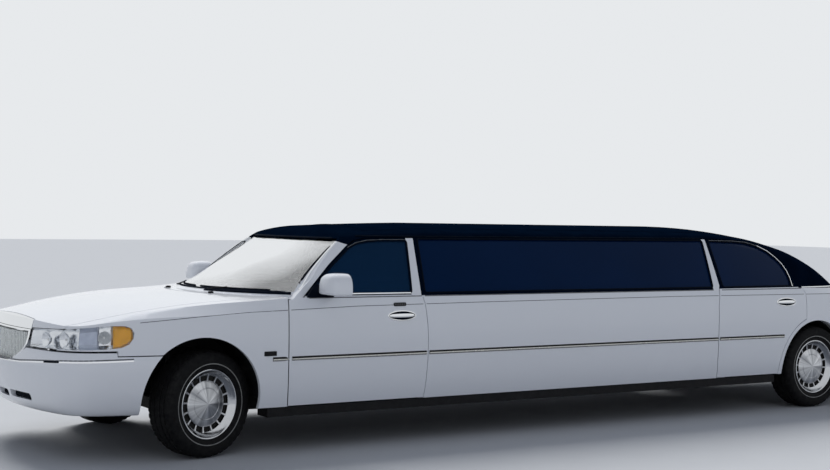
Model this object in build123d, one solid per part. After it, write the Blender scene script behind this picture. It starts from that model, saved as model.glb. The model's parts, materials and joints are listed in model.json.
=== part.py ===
"""Stretch limousine: a long four-door saloon on a lengthened ladder frame.

Millimetres. +X runs to the tail, -Y is the car's left side, +Z is up. The origin lies on the ground
under the middle of the car. Every piece is a closed solid; like pieces of one body share a file.
"""

from build123d import *
from math import atan2, cos, hypot, pi, radians, sin, tan
import os

os.makedirs("parts", exist_ok=True)

# Driving dimensions
NOSE_X = -3975.0
TAIL_X = 3975.0
BUMPER_PROUD = 29.5
FRONT_AXLE_X = -2974.5
REAR_AXLE_X = 2555.5
HALF_WIDTH = 985.0
SILL_Z = 300.0
BELT_Z = 1000.0
ROOF_Z = 1490.0
SHUT_GAP = 7.0

# Running gear
TYRE_R = 338.0
RIM_R = 222.0
FRONT_TRACK_HALF = 805.0
REAR_TRACK_HALF = 829.5
KINGPIN_HALF = 780.0
STEER_AT_REST = 15.0

# Wheel arches: centre along X, its height, radius of the opening
FRONT_ARCH = (FRONT_AXLE_X - 45.0, 372.0, 395.0)
REAR_ARCH = (REAR_AXLE_X - 30.0, 338.0, 393.0)
DOOR_ARCH_R = REAR_ARCH[2] + 40.0

# The lower body's straight middle length, where its rear length begins, and where the roof begins
MIDDLE_X = (-2440.0, 1500.0)
REAR_ZONE_X = 1384.0
ROOF_SPLIT_X = -1795.0

# Wall thicknesses
SKIN = 28.0
DOOR_WALL = 110.0
PILLAR_WALL = 40.0
GLASS_FACE = 10.0
GLASS_WALL = 6.0

# Body side, seen in plan: height, half width, how far the nose and the tail stand back
SIDE_TABLE = (
    (200, 915, 60, 60),
    (300, 952, 40, 40),
    (450, 976, 15, 15),
    (620, 985, 0, 0),
    (800, 979, 18, 12),
    (950, 957, 60, 40),
    (1080, 925, 110, 80),
)
# Plan outline of either end: distance from the end, half width, outward normal along X and across
NOSE_PLAN = ((100, 680, 0.96, 0.29), (312, 885, 0.26, 0.97), (1071, 985, 0.0, 1.0))
TAIL_PLAN = ((45, 700, 0.99, 0.13), (230, 890, 0.16, 0.99), (1300, 985, 0.0, 1.0))

# Top of the lower body: station, height on the centre line, shoulder half width and height, crease height
HOOD_TABLE = (
    (-4100, 832, 855, 772, 738),
    (-3760, 902, 862, 838, 800),
    (-3420, 952, 872, 908, 862),
    (-3000, 992, 885, 962, 902),
    (-2411, 1018, 925, 1000, 943),
)
MIDDLE_TOP = (1018, 930, 1000, 947)
DECK_TABLE = (
    (1384, 1018, 930, 1000, 947),
    (2300, 1016, 926, 999, 950),
    (3050, 1004, 905, 988, 944),
    (3600, 978, 885, 960, 924),
    (4100, 925, 868, 905, 885),
)
CREASE_Y = 960.0
TOP_HALF = 1060.0

# Cabin section: station, roof height, half width and height of the roof rail's corner, and its legs' length
FRONT_ROOF = ((-2850, 1395, 627, 1325, 55), (-1850, 1460, 667, 1396, 55), (-1000, ROOF_Z, 684, 1420, 60))
REAR_ROOF = (
    (REAR_ZONE_X, 1487, 684, 1417, 60),
    (1850, 1466, 687, 1396, 70),
    (2270, 1402, 706, 1328, 90),
    (2570, 1318, 738, 1238, 120),
    (2840, 1180, 780, 1098, 150),
    (3030, 1004, 798, 938, 110),
    (3120, 905, 778, 862, 50),
)
ROOF_STEP = 100.0
CABIN_FLOOR_Z = 700.0
TUMBLEHOME = 0.566
SIDE_BULGE = 9.0

# Windshield surface: height, X on the centre line, X at the reference half width
SCREEN_TABLE = ((900, -2927, -2461), (1500, -1743, -1705))
SCREEN_REF_Y = 800.0
SCREEN_SETBACK = 2.2


def write(node, *solids):
    """Writes one node: a solid, or several that don't touch."""
    shape = solids[0] if len(solids) == 1 else Compound(children=list(solids))
    export_step(shape, f"parts/{node}.step")


def block(x, y, z):
    """A box from its limits along each axis."""
    size = [high - low for low, high in (x, y, z)]
    centre = [(high + low) / 2 for low, high in (x, y, z)]
    return Pos(*centre) * Box(*size)


def both(shape):
    """A piece of the left side and its mirror image on the right."""
    return shape, mirror(shape, about=Plane.XZ)


def cylinder_y(x, z, radius, y):
    """A cylinder along Y between two values of Y."""
    low, high = y
    return Pos(x, (low + high) / 2, z) * Rot(90, 0, 0) * Cylinder(radius, high - low)


def prism_y(points, y):
    """An outline in X and Z, extruded between two values of Y."""
    low, high = y
    face = Face(Wire.make_polygon([(px, low, pz) for px, pz in points], close=True))
    return extrude(face, high - low, dir=(0, 1, 0))


def prism_x(points, x):
    """An outline in Y and Z, extruded between two values of X."""
    low, high = x
    face = Face(Wire.make_polygon([(low, py, pz) for py, pz in points], close=True))
    return extrude(face, high - low, dir=(1, 0, 0))


def prism_z(points, z):
    """An outline in X and Y, extruded between two heights."""
    low, high = z
    face = Face(Wire.make_polygon([(px, py, low) for px, py in points], close=True))
    return extrude(face, high - low, dir=(0, 0, 1))


def between(table, z, column):
    """A column of a table, interpolated at a height."""
    for low, high in zip(table, table[1:]):
        if z <= high[0]:
            share = (z - low[0]) / (high[0] - low[0])
            return low[column] + share * (high[column] - low[column])
    return table[-1][column]


def smooth_rows(table, step):
    """A table with more rows between its own, each column on a smooth curve, so that no loft overshoots."""
    stations = [row[0] for row in table]
    gaps = [b - a for a, b in zip(stations, stations[1:])]
    columns = []
    for column in list(zip(*table))[1:]:
        rises = [(b - a) / gap for a, b, gap in zip(column, column[1:], gaps)]
        inner = [(g1 * r0 + g0 * r1) / (g0 + g1) for g0, g1, r0, r1 in zip(gaps, gaps[1:], rises, rises[1:])]
        columns.append((column, [0.0, *inner, rises[-1]]))
    rows = []
    for i, gap in enumerate(gaps):
        count = max(1, round(gap / step))
        for t in (j / count for j in range(count)):
            row = [stations[i] + gap * t]
            for column, slopes in columns:
                ends = (1 - 3 * t**2 + 2 * t**3) * column[i] + (3 * t**2 - 2 * t**3) * column[i + 1]
                turns = (t - 2 * t**2 + t**3) * slopes[i] + (t**3 - t**2) * slopes[i + 1]
                row.append(ends + gap * turns)
            rows.append(tuple(row))
    return [*rows, table[-1]]


def end_points(plan, end_x, inward, narrow, inset):
    """Points of one end's outline on the right-hand side: arc end, corner end, start of the straight side."""
    points = []
    for along, half, normal_x, normal_y in plan:
        x = end_x + inward * (along + inset * normal_x)
        points.append((x, half - narrow - inset * normal_y))
    return points


def plan_wire(z, inset):
    """Outline of the body at one height, inside the skin by the inset."""
    narrow = HALF_WIDTH - between(SIDE_TABLE, z, 1)
    nose_x = NOSE_X + between(SIDE_TABLE, z, 2)
    tail_x = TAIL_X - between(SIDE_TABLE, z, 3)
    edges = []
    for plan, end_x, inward in ((NOSE_PLAN, nose_x, 1), (TAIL_PLAN, tail_x, -1)):
        a, b, c = end_points(plan, end_x, inward, narrow, inset)
        tip = (end_x + inward * inset, 0, z)
        side = -inward
        left = [(x, side * -y, z) for x, y in (a, b, c)]
        right = [(x, side * y, z) for x, y in (a, b, c)]
        front = ThreePointArc(left[0], tip, right[0])
        near = TangentArc(right[0], right[1], tangent=front % 1)
        near_side = TangentArc(right[1], right[2], tangent=near % 1)
        back = front % 0
        far = TangentArc(left[0], left[1], tangent=(-back.X, -back.Y, 0))
        far_side = TangentArc(left[1], left[2], tangent=far % 1)
        edges.append((front, near, near_side, far, far_side, left[2], right[2]))
    nose, tail = edges
    sides = [Line(nose[6], tail[5]), Line(nose[5], tail[6])]
    return Wire([e for group in edges for e in group[:5]] + sides)


def side_solid(inset, heights=tuple(row[0] for row in SIDE_TABLE)):
    """The body as seen in plan, lofted from its sill to above its belt."""
    return Solid.make_loft([plan_wire(z, inset) for z in heights])


def top_wire(x, row, drop):
    """Section under the lower body's top at one station: crowned middle, shoulders and falling sides."""
    z_mid, y_shoulder, z_shoulder, z_crease = row
    slope = (z_shoulder - z_crease) / (CREASE_Y - y_shoulder)
    z_out = z_shoulder - slope * (TOP_HALF - y_shoulder) - drop
    shoulder = (x, y_shoulder, z_shoulder - drop)
    other = (x, -y_shoulder, z_shoulder - drop)
    corners = ((x, TOP_HALF, z_out), (x, TOP_HALF, 0), (x, -TOP_HALF, 0), (x, -TOP_HALF, z_out))
    lines = [Line(a, b) for a, b in zip((shoulder, *corners), (*corners, other))]
    return Wire([ThreePointArc(other, (x, 0, z_mid - drop), shoulder)] + lines)


def top_solid(zone, drop):
    """Everything below the lower body's top, in the front, middle or rear zone."""
    if zone == "middle":
        start, end = MIDDLE_X
        return extrude(Face(top_wire(start, MIDDLE_TOP, drop)), end - start, dir=(1, 0, 0))
    table = HOOD_TABLE if zone == "front" else DECK_TABLE
    return Solid.make_loft([top_wire(row[0], row[1:], drop) for row in table])


def cabin_wire(row, inset):
    """Section of the cabin at one station: leaning sides, rounded rails and a crowned roof."""
    x, z_mid, y_rail, z_rail, leg = row
    z_mid -= inset
    y_rail -= 0.583 * inset
    z_rail -= inset
    lean = hypot(TUMBLEHOME, 1)
    y_foot = y_rail + TUMBLEHOME * (z_rail - CABIN_FLOOR_Z)
    side_end = (y_rail + leg * TUMBLEHOME / lean, z_rail - leg / lean)
    crown = atan2(2 * (z_mid - z_rail), y_rail)
    roof_end = (y_rail - leg * cos(crown), z_rail + leg * sin(crown))
    turn = (pi / 2 - atan2(TUMBLEHOME, 1) - crown) / 2
    share = cos(turn) / (1 + cos(turn))
    middle = [(a + b) / 2 for a, b in zip(side_end, roof_end)]
    corner = [m + share * (v - m) for m, v in zip(middle, (y_rail, z_rail))]
    swell = ((y_foot + side_end[0]) / 2 + SIDE_BULGE, (CABIN_FLOOR_Z + side_end[1]) / 2)
    right = [(x, y, z) for y, z in ((y_foot, CABIN_FLOOR_Z), swell, side_end, corner, roof_end)]
    left = [(x, -y, z) for _, y, z in right]
    return Wire([
        ThreePointArc(*right[:3]),
        ThreePointArc(*right[2:]),
        ThreePointArc(right[4], (x, 0, z_mid), left[4]),
        ThreePointArc(*left[2:][::-1]),
        ThreePointArc(*left[:3][::-1]),
        Line(left[0], right[0]),
    ])


def screen_solid(inset):
    """Everything behind the windshield's surface."""
    faces = []
    for z, x_mid, x_side in SCREEN_TABLE:
        back = SCREEN_SETBACK * inset
        rear = 0.0
        tips = [(x_side + back, y, z) for y in (-SCREEN_REF_Y, SCREEN_REF_Y)]
        wide = [(x_side + back, y, z) for y in (-TOP_HALF, TOP_HALF)]
        ends = [(rear, y, z) for y in (-TOP_HALF, TOP_HALF)]
        faces.append(Wire([
            ThreePointArc(tips[0], (x_mid + back, 0, z), tips[1]),
            Line(tips[1], wide[1]),
            Line(wide[1], ends[1]),
            Line(ends[1], ends[0]),
            Line(ends[0], wide[0]),
            Line(wide[0], tips[0]),
        ]))
    return Solid.make_loft(faces, ruled=True)


def cabin_solids(inset):
    """The cabin's front, middle and rear lengths, inside the skin by the inset."""
    front = Solid.make_loft([cabin_wire(row, inset) for row in FRONT_ROOF])
    front &= screen_solid(inset)
    middle = Solid.make_loft(
        [cabin_wire(FRONT_ROOF[-1], inset), cabin_wire(REAR_ROOF[0], inset)], ruled=True
    )
    rear = Solid.make_loft([cabin_wire(row, inset) for row in smooth_rows(REAR_ROOF, ROOF_STEP)])
    return front, middle, rear


def skin_y(z):
    """Half width of the outer skin at a height, on the straight length of the body."""
    if z <= BELT_Z:
        return between(SIDE_TABLE, z, 1)
    return 930.0 - TUMBLEHOME * (z - BELT_Z)


DOOR_TAPER = tan(radians(18))


def door_prism(points, grow=0.0):
    """A door's outline through the left wall, which narrows inwards so that the door clears its frame."""
    count = len(points)
    rings = []
    for y in (-1080.0, -600.0):
        ring = []
        for i, (x, z) in enumerate(points):
            (xa, za), (xb, zb) = points[i - 1], points[(i + 1) % count]
            ia, ib = hypot(x - xa, z - za), hypot(xb - x, zb - z)
            na = ((z - za) / ia, -(x - xa) / ia)
            nb = ((zb - z) / ib, -(xb - x) / ib)
            scale = 1 + na[0] * nb[0] + na[1] * nb[1]
            out = grow + DOOR_TAPER * (-y - skin_y(z))
            ring.append((x + out * (na[0] + nb[0]) / scale, y, z + out * (na[1] + nb[1]) / scale))
        rings.append(Wire.make_polygon(ring, close=True))
    return Solid.make_loft(rings, ruled=True)


# Door and window outlines, X and Z, from the lower front corner to the rear and round
FRONT_DOOR = (
    (-2418, 305), (-1378, 305), (-1366, 540), (-1364, 750), (-1381, 975), (-1311, 1392),
    (-1700, 1392), (-1795, 1374), (-1862, 1338), (-2031, 1217), (-2285, 1006), (-2418, 990),
)
REAR_DOOR = (
    (1406, 305), (1392, 450), (1391, 700), (1402, 880), (1428, 985), (1458, 1028), (1494, 1398),
    (1960, 1392), (2190, 1330), (2345, 1190), (2392, 1030), (2385, 700), (2150, 305),
)[::-1]
FRONT_WINDOW = (
    (-2232, 1022), (-1456, 1022), (-1380, 1368), (-1560, 1367), (-1690, 1361),
    (-1778, 1345), (-1844, 1315), (-2012, 1193),
)
REAR_WINDOW = (
    (1492, 1022), (2298, 1022), (2310, 1080), (2304, 1140), (2280, 1192), (2236, 1240),
    (2170, 1290), (2080, 1332), (1960, 1360), (1800, 1370), (1526, 1374),
)
CENTRE_WINDOW = ((-1342, 1022), (1374, 1022), (1450, 1380), (-1280, 1380))

# Bumper covers: where each ends, then height and how far they stand proud of the body
BUMPER_END_X = (-3266.0, 3300.0)
BUMPER_STEP = (-3560.0, 660.0)
INTAKES = ((0.0, 376.0, 190.0, 44.0), (282.0, 384.0, 296.0, 44.0))
BUMPER_TABLE = ((295, -26), (335, 10), (430, 27), (560, BUMPER_PROUD), (650, 14), (684, 3))

# Lamps, grille, hood and trunk lid: outlines in X and Z or X and Y, spans across
HEADLAMP = (
    (-4100, 692), (-3740, 703), (-3596, 708), (-3533, 716), (-3488, 736), (-3463, 770),
    (-3457, 806), (-3474, 834), (-3510, 846), (-3604, 848), (-3760, 832), (-4100, 786),
)
HEADLAMP_Y = (398.0, 1000.0)
TAIL_LAMP = ((3640, 712), (4100, 700), (4100, 872), (3700, 872))
TAIL_LAMP_Y = (560.0, 1000.0)
GRILLE_SIDE = ((385, 800), (384, 750), (372, 715), (346, 684), (300, 652), (225, 618), (120, 590))
GRILLE_BARS_A_SIDE = 14
GRILLE_BAR_WIDTH = 9.0
GRILLE_PITCH = 24.0
HOOD_SIDE = ((-2400, 790), (-3300, 782), (-3700, 752), (-4050, 690), (-4050, 397), (-3897, 397))
HOOD_REAR_X = -2800.0
TRUNK_SIDE = ((3142, 700), (3950, 640), (4050, 640))
TRUNK_BOTTOM_Z = 694.0
BACKLIGHT = ((-500, 1052), (500, 1052), (455, 1290), (-455, 1290))
SCREEN_OPENING = ((-795, 1030), (795, 1030), (652, 1380), (-652, 1380))
PILLAR_TOP_Z = 1383.0

side_outer = side_solid(0)
side_skin = side_solid(SKIN)
side_door = side_solid(DOOR_WALL)
side_quarter = side_solid(45)
zones = {zone: side_outer & top_solid(zone, 0) for zone in ("front", "middle", "rear")}
above_sill = block((-4500, 4500), (-1100, 1100), (SILL_Z, 1200))
left_wall = block((-4500, 4500), (-1100, -780), (SILL_Z, BELT_Z))
cabin_band = block((-4500, 4500), (-1100, 1100), (985, 1600))
full = (-1100, 1100)


def cabin_layer(outer, inner):
    """The cabin's skin between two insets, in its three lengths."""
    pairs = zip(cabin_solids(outer), cabin_solids(inner))
    return [(a - b) & cabin_band for a, b in pairs]


cabin_outer = cabin_solids(0)
cabin_wall = cabin_layer(0, PILLAR_WALL)
cabin_glass = cabin_layer(GLASS_FACE, GLASS_FACE + GLASS_WALL)


def arch_cutter(arch):
    """The cylinder along Y that opens a pair of wheel arches."""
    x, z, radius = arch
    return cylinder_y(x, z, radius, (-1100, 1100))


def side_door_piece(points, zone, length, window):
    """A left-hand door: a thick lower wall, and a window frame in one with it."""
    prism = door_prism(points)
    lower = ((zones[zone] - side_door) & left_wall) & prism
    upper = (cabin_wall[length] & prism) - prism_y(window, (-1100, -500))
    return lower + upper


def arch_cone(radius):
    """The curved rear edge of a rear door, which widens inwards."""
    x, z, _ = REAR_ARCH
    return Pos(x, -880, z) * Rot(90, 0, 0) * Cone(radius + 60, radius - 5, 220)


front_door_left = side_door_piece(FRONT_DOOR, "middle", 0, FRONT_WINDOW)
rear_door_left = side_door_piece(REAR_DOOR, "rear", 2, REAR_WINDOW) - arch_cone(DOOR_ARCH_R)
front_opening = door_prism(FRONT_DOOR, SHUT_GAP)
rear_opening = door_prism(REAR_DOOR, SHUT_GAP) - arch_cone(DOOR_ARCH_R - SHUT_GAP)
openings = [*both(front_opening), *both(rear_opening)]


def cut(shape, tools):
    """A shape less several others."""
    for tool in tools:
        shape = shape - tool
    return shape


# Front end
front_skin = (zones["front"] - side_skin) + (zones["front"] - top_solid("front", SKIN))
middle_top = zones["middle"] - top_solid("middle", SKIN)


def hood_region(grow):
    """The hood in plan: a notch for the grille's header in front, a bow at the windshield behind."""
    signs = (1, 1, 1, 1, -1, -1)
    right = [(x, y + sign * grow, 700) for (x, y), sign in zip(HOOD_SIDE, signs)]
    left = [(x, -y, z) for x, y, z in right[::-1]]
    edges = [Line(a, b) for a, b in zip(right + left, (right + left)[1:])]
    edges.append(ThreePointArc(left[-1], (HOOD_REAR_X, 0, 700), right[0]))
    return extrude(Face(Wire(edges)), 400, dir=(0, 0, 1))


headlamp_prism = prism_y(HEADLAMP, full)
step_x, step_z = BUMPER_STEP
under_lamps = block((-4200, step_x + 6), full, (0, 696))
over_arch = block((step_x, BUMPER_END_X[0] + 4), full, (0, step_z + 6))
hood = (front_skin & hood_region(0)) & block((-4200, -2300), full, (800, 1100))
hood = cut(hood, [Pos(0, 0, 3) * headlamp_prism, block((-4200, -3897), (-397, 397), (0, 1100))])
hood_side_gap = hood_region(6)
hood_rear_gap = Pos(9, 0, 0) * hood_region(0)
cowl_room = block((-2840, -2230), (-790, 790), (900, 1100))
fender_middle = block((-4200, -2300), (-700, 700), (0, 1100))
fender_tools = [fender_middle, cowl_room, hood_side_gap, headlamp_prism, under_lamps, over_arch]
fender_tools += [arch_cutter(FRONT_ARCH), *openings[:2]]
fenders = cut(front_skin & above_sill, fender_tools)
fender_left = fenders & block((-4200, -2300), (-1100, 0), (0, 1100))
cowl_region = block((-2830, -2236), (-784, 784), (960, 1100)) - hood_rear_gap
cowl = (front_skin & cowl_region) + (middle_top & cowl_region) - (cabin_outer[0] & cabin_band)


def end_shell(table, wall):
    """A bumper's cover: a band of the plan outline that stands proud of the body."""
    outer = Solid.make_loft([plan_wire(z, -proud) for z, proud in table])
    inner = Solid.make_loft([plan_wire(z, wall - proud) for z, proud in table])
    return outer - inner


def intake(y, z, width, height):
    """A slot with rounded ends through the bumper, seen from the front."""
    outline = extrude(RectangleRounded(height, width, height * 0.4), 300)
    return Pos(-4100, y, z) * Rot(0, 90, 0) * outline


grille_outline = [*GRILLE_SIDE, *[(-y, z) for y, z in GRILLE_SIDE[::-1]]]
grille_hole = [(y * 0.94, 683 + (z - 683) * 0.9) for y, z in grille_outline]
bumper_band = end_shell(BUMPER_TABLE, 34)
grille_room = prism_x([(y * 1.012, z if z > 799 else z - 5) for y, z in grille_outline], (-4200, -3700))
front_bumper = bumper_band & block((-4200, BUMPER_END_X[0]), full, (200, 700))
over_step = block((step_x, -3000), full, (step_z, 800))
intakes = [intake(side * y, *rest) for y, *rest in INTAKES for side in (-1, 1)][1:]
front_bumper = cut(front_bumper, [grille_room, arch_cutter(FRONT_ARCH), over_step, *intakes])
rear_bumper = bumper_band & block((BUMPER_END_X[1], 4200), full, (200, 700))
nose_band = side_outer - side_quarter
grille_frame = (nose_band & prism_x(grille_outline, (-4200, -3700))) - prism_x(grille_hole, (-4200, -3700))
header = zones["front"] & (nose_band & block((-4200, -3903), (-391, 391), (803, 900)))
bar_height = (590.0, 778.0)
bar_depth = (-3962.0, -3930.0)
rail_depth = (-3934.0, -3922.0)


def nose_bow(y):
    """How far the nose stands back at a distance from the centre line."""
    return 100.0 * (y / 680.0) ** 2


bars = []
for i in range(-GRILLE_BARS_A_SIDE, GRILLE_BARS_A_SIDE + 1):
    y = GRILLE_PITCH * i
    depth = [x + nose_bow(y) for x in bar_depth]
    bars.append(block(depth, (y - GRILLE_BAR_WIDTH / 2, y + GRILLE_BAR_WIDTH / 2), bar_height))
rail_front = [(rail_depth[0] + nose_bow(y), y) for y in (-345, -230, -115, 0, 115, 230, 345)]
rail_back = [(x + 12, y) for x, y in rail_front[::-1]]
rails = [prism_z(rail_front + rail_back, (z, z + 14)) for z in (650, 730)]
grille_inner = [(y * 0.935, 683 + (z - 683) * 0.89) for y, z in grille_outline]
grille_insert = bars[0].fuse(*bars[1:], *rails) & prism_x(grille_inner, (-4200, -3700))
headlamp_band = zones["front"] - side_solid(150)
headlamp_room = headlamp_prism & block((-4200, -3400), (-HEADLAMP_Y[1], -HEADLAMP_Y[0]), (600, 900))
headlamp_left = headlamp_band & headlamp_room

# Cabin shell: windshield frame, roof, pillars and glass
screen_hole = prism_x(SCREEN_OPENING, (-3000, -1800))
backlight_hole = prism_x(BACKLIGHT, (2280, 3200))
centre_hole = prism_y(CENTRE_WINDOW, full)
pillar_zone = block((-3000, ROOF_SPLIT_X), full, (985, PILLAR_TOP_Z))
c_pillar_zone = prism_y(((1370, 985), (1530, 985), (1530, 1392), (1453, 1392)), full)
side_panel_top = block((-1412, MIDDLE_X[1]), full, (900, BELT_Z))
windshield_frame = cut(cabin_wall[0] & pillar_zone, [screen_hole, *openings[:2]])
roof_tools = [pillar_zone, c_pillar_zone, side_panel_top, backlight_hole, centre_hole, *openings]
roof = cut(cabin_wall[0] + cabin_wall[1] + cabin_wall[2], roof_tools)
windshield = cabin_glass[0] & screen_hole
backlight = cabin_glass[2] & backlight_hole
centre_glass = [layer & centre_hole for layer in cabin_glass]
centre_glass = centre_glass[0].fuse(*centre_glass[1:])
front_door_glass = cabin_glass[0] & prism_y(FRONT_WINDOW, (-1100, -500))
rear_door_glass = cabin_glass[2] & prism_y(REAR_WINDOW, (-1100, -500))

# Middle and rear body
side_room = block((-1404, MIDDLE_X[1]), (-1100, -780), (SILL_Z, BELT_Z))
side_panel = cut((zones["middle"] - side_door) & side_room, openings[::2])
left_half = block((-4500, 4500), (-1100, 0), (0, 1600))
c_pillar = cut((cabin_wall[1] + cabin_wall[2]) & c_pillar_zone & left_half, [rear_opening, centre_hole])
side_panel_left = side_panel + c_pillar
rear_skin = (zones["rear"] - side_quarter) + (zones["rear"] - top_solid("rear", SKIN))


def trunk_region(grow):
    """The trunk lid in plan."""
    right = [(x - (grow if i == 0 else 0), y + grow) for i, (x, y) in enumerate(TRUNK_SIDE)]
    return prism_z(right + [(x, -y) for x, y in right[::-1]], (TRUNK_BOTTOM_Z - 2 * grow, 1100))


trunk_gap = trunk_region(6)
tail_lamp_room = prism_y(TAIL_LAMP, (-TAIL_LAMP_Y[1], -TAIL_LAMP_Y[0]))
tail_lamp_left = (zones["rear"] - side_solid(90)) & tail_lamp_room - trunk_gap
trunk_lid = rear_skin & trunk_region(0)
bumper_room = block((BUMPER_END_X[1] - 6, 4200), full, (0, 690))
under_cabin = block((1300, 2980), (-880, 880), (0, 1100))
ahead_of_arch = block((1300, 2080), full, (0, 1100))
quarter_tools = [under_cabin, ahead_of_arch, trunk_gap, bumper_room, prism_y(TAIL_LAMP, full)]
quarter_tools += [arch_cutter(REAR_ARCH), *openings[2:], cabin_outer[2] & cabin_band]
quarters = cut(rear_skin & above_sill, quarter_tools)


# Wheels: half the tyre's section and the rim's whole one, distance across from the wheel's centre and radius
TYRE_HALF = ((80, RIM_R - 9), (88, RIM_R), (108, 245), (112.5, 285), (104, 320), (84, TYRE_R))
RIM_FACE = (
    (-98, RIM_R - 2), (-98, RIM_R - 14), (-86, RIM_R - 22), (-70, 168), (-66, 150), (-74, 146),
    (-80, 140), (-92, 96), (-100, 62), (-103, 30), (-104, 0.01),
)
RIM_BACK = (
    (-58, 0.01), (-58, 80), (-46, 150), (-40, 180), (70, 186), (98, RIM_R - 14), (98, RIM_R - 2),
    (88, RIM_R - 2), (76, RIM_R - 14), (-76, RIM_R - 14), (-88, RIM_R - 2),
)
SLOTS = 16
SLOT_R = (150.0, 182.0)
SLOT_WIDTH = 37.0
BRAKE_R = 150.0
HUB_R = 62.0
SPINDLE_R = 20.0
PIN_R = 9.0


def spin(section):
    """A section turned about the wheel's own axle, which lies along Y at the origin."""
    face = Face(Wire.make_polygon([(r, y, 0) for y, r in section], close=True))
    return revolve(face, Axis.Y)


def wheel_pieces():
    """A left wheel and its tyre about the origin: the outer face looks along -Y."""
    tyre = spin([*TYRE_HALF, *[(-y, r) for y, r in TYRE_HALF[::-1]]])
    rim = spin([*RIM_FACE, *RIM_BACK])
    slot = block((SLOT_R[0], SLOT_R[1]), (-110, 0), (-SLOT_WIDTH / 2, SLOT_WIDTH / 2))
    slots = [Rot(0, 360.0 * i / SLOTS, 0) * slot for i in range(SLOTS)]
    rim = rim.cut(*slots)
    hub = cylinder_y(0, 0, HUB_R, (-60, 20)) + cylinder_y(0, 0, BRAKE_R, (-22, -8))
    wheel = rim + hub - cylinder_y(0, 0, SPINDLE_R + 0.05, (-40, 30))
    return wheel, tyre


left_wheel, left_tyre = wheel_pieces()
right_wheel, right_tyre = [mirror(piece, about=Plane.XZ) for piece in (left_wheel, left_tyre)]


def front_place(side):
    """Where a front wheel stands: turned with its knuckle about the kingpin."""
    pin = Pos(FRONT_AXLE_X, side * KINGPIN_HALF, TYRE_R)
    return pin * Rot(0, 0, STEER_AT_REST) * Pos(0, side * (FRONT_TRACK_HALF - KINGPIN_HALF), 0)


def rear_place(side):
    """Where a rear wheel stands on its axle."""
    return Pos(REAR_AXLE_X, side * REAR_TRACK_HALF, TYRE_R)


def knuckle(side):
    """Upright on the kingpin with a spindle and a steering arm, about the wheel's centre."""
    post = block((-26, 26), (24, 66), (-115, 135))
    spindle = cylinder_y(0, 0, SPINDLE_R, (-36, 30))
    arm = block((20, 140), (42, 66), (-75, -50))
    pin_y = FRONT_TRACK_HALF - KINGPIN_HALF
    holes = Pos(0, pin_y, -108) * Cylinder(PIN_R + 0.05, 30) + Pos(0, pin_y, 128) * Cylinder(PIN_R + 0.05, 30)
    piece = post + spindle + arm - holes
    return piece if side < 0 else mirror(piece, about=Plane.XZ)


wheels = {
    "front_left": (left_wheel, left_tyre, front_place(-1)),
    "front_right": (right_wheel, right_tyre, front_place(1)),
    "rear_left": (left_wheel, left_tyre, rear_place(-1)),
    "rear_right": (right_wheel, right_tyre, rear_place(1)),
}

# Ladder frame: the rails' lower edge, X and Z, and their depth
RAIL_LINE = (
    (-3780, 380), (-2700, 380), (-2480, 230), (2080, 230),
    (2330, 515), (2790, 515), (2950, 362), (3780, 362),
)
RAIL_DEPTH = 92.0
RAIL_Y = (430.0, 510.0)
CROSS_X = (-1750, -700, 400, 1500)
END_MEMBERS = ((-3740, 392), (2995, 375), (3740, 374))
FLOOR_Z = (332.0, 347.0)
FLOOR_HALF = 830.0
SHAFT_R = 36.0
PIPE = (365.0, 255.0, 28.0)
SHELF_Z = 940.0


def frame_rails():
    """The two cranked rails of the ladder frame."""
    outline = [*RAIL_LINE, *[(x, z + RAIL_DEPTH) for x, z in RAIL_LINE[::-1]]]
    return both(prism_y(outline, (-RAIL_Y[1], -RAIL_Y[0])))


def cross_members():
    """Between the rails: members hooped over the propeller shaft, and plain ones at the ends."""
    inner, _ = RAIL_Y
    side = ((100, 388), (100, 296), (inner, 296), (inner, 322), (125, 322), (125, 408))
    hoop = [*side, *[(-y, z) for y, z in side[::-1]]]
    hoops = [prism_x(hoop, (x - 40, x + 40)) for x in CROSS_X]
    return hoops + [block((x - 40, x + 40), (-inner, inner), (z, z + 70)) for x, z in END_MEMBERS]


def outriggers():
    """Brackets that carry the rockers on the rails."""
    left = [block((x - 40, x + 40), (-802, -RAIL_Y[1]), (296, 328)) for x in CROSS_X]
    return [piece for bracket in left for piece in both(bracket)]


def floor():
    """Floor with its tunnel, the riser over the rear axle and the trunk's floor."""
    slab = block((-2350, 2060), (-FLOOR_HALF, FLOOR_HALF), FLOOR_Z)
    front = block((-2350, -1900), (-195, 195), (332, 535))
    back = block((-1900, 2060), (-165, 165), (332, 440))
    line = ((2060, 332), (2130, 620), (2940, 640), (2990, 470), (3860, 470))
    upper = ((3860, 485), (3002, 485), (2952, 655), (2118, 635), (2045, 347))
    rear = prism_y([*line, *upper], (-680, 680))
    solid = slab.fuse(front, back, rear)
    return solid.cut(
        block((-2400, -1915), (-180, 180), (300, 520)),
        block((-1920, 2200), (-150, 150), (300, 425)),
    )


def bulkhead():
    """Toe board between engine and cabin, with the hinge posts of the front doors."""
    plate = block((-2350, -2335), (-815, 815), (347, 960))
    pieces = [plate]
    for side in (-1, 1):
        pieces.append(block((-2520, -2335), sorted((side * 800, side * 815)), (347, 935)))
        pieces.append(block((-2520, -2430), sorted((side * 800, side * 918)), (334, 935)))
    solid = pieces[0].fuse(*pieces[1:])
    return solid.cut(block((-2400, -2300), (-195, 195), (300, 535)))


def wheel_housing(centre, radius, y, apron_z, base_z):
    """A left wheel well: a half round liner and the wall on its inboard side."""
    x, z = centre
    inner, outer = y
    ring = cylinder_y(x, z, radius, (-outer, -inner)) - cylinder_y(x, z, radius - 8, (-outer, -inner))
    wall = block((x - radius, x + radius), (-inner, -inner + 12), apron_z)
    wall = wall & cylinder_y(x, z, radius, (-inner, -inner + 12))
    return (ring & block((x - 600, x + 600), (-1000, 0), (base_z, 1000))) + wall


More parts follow.
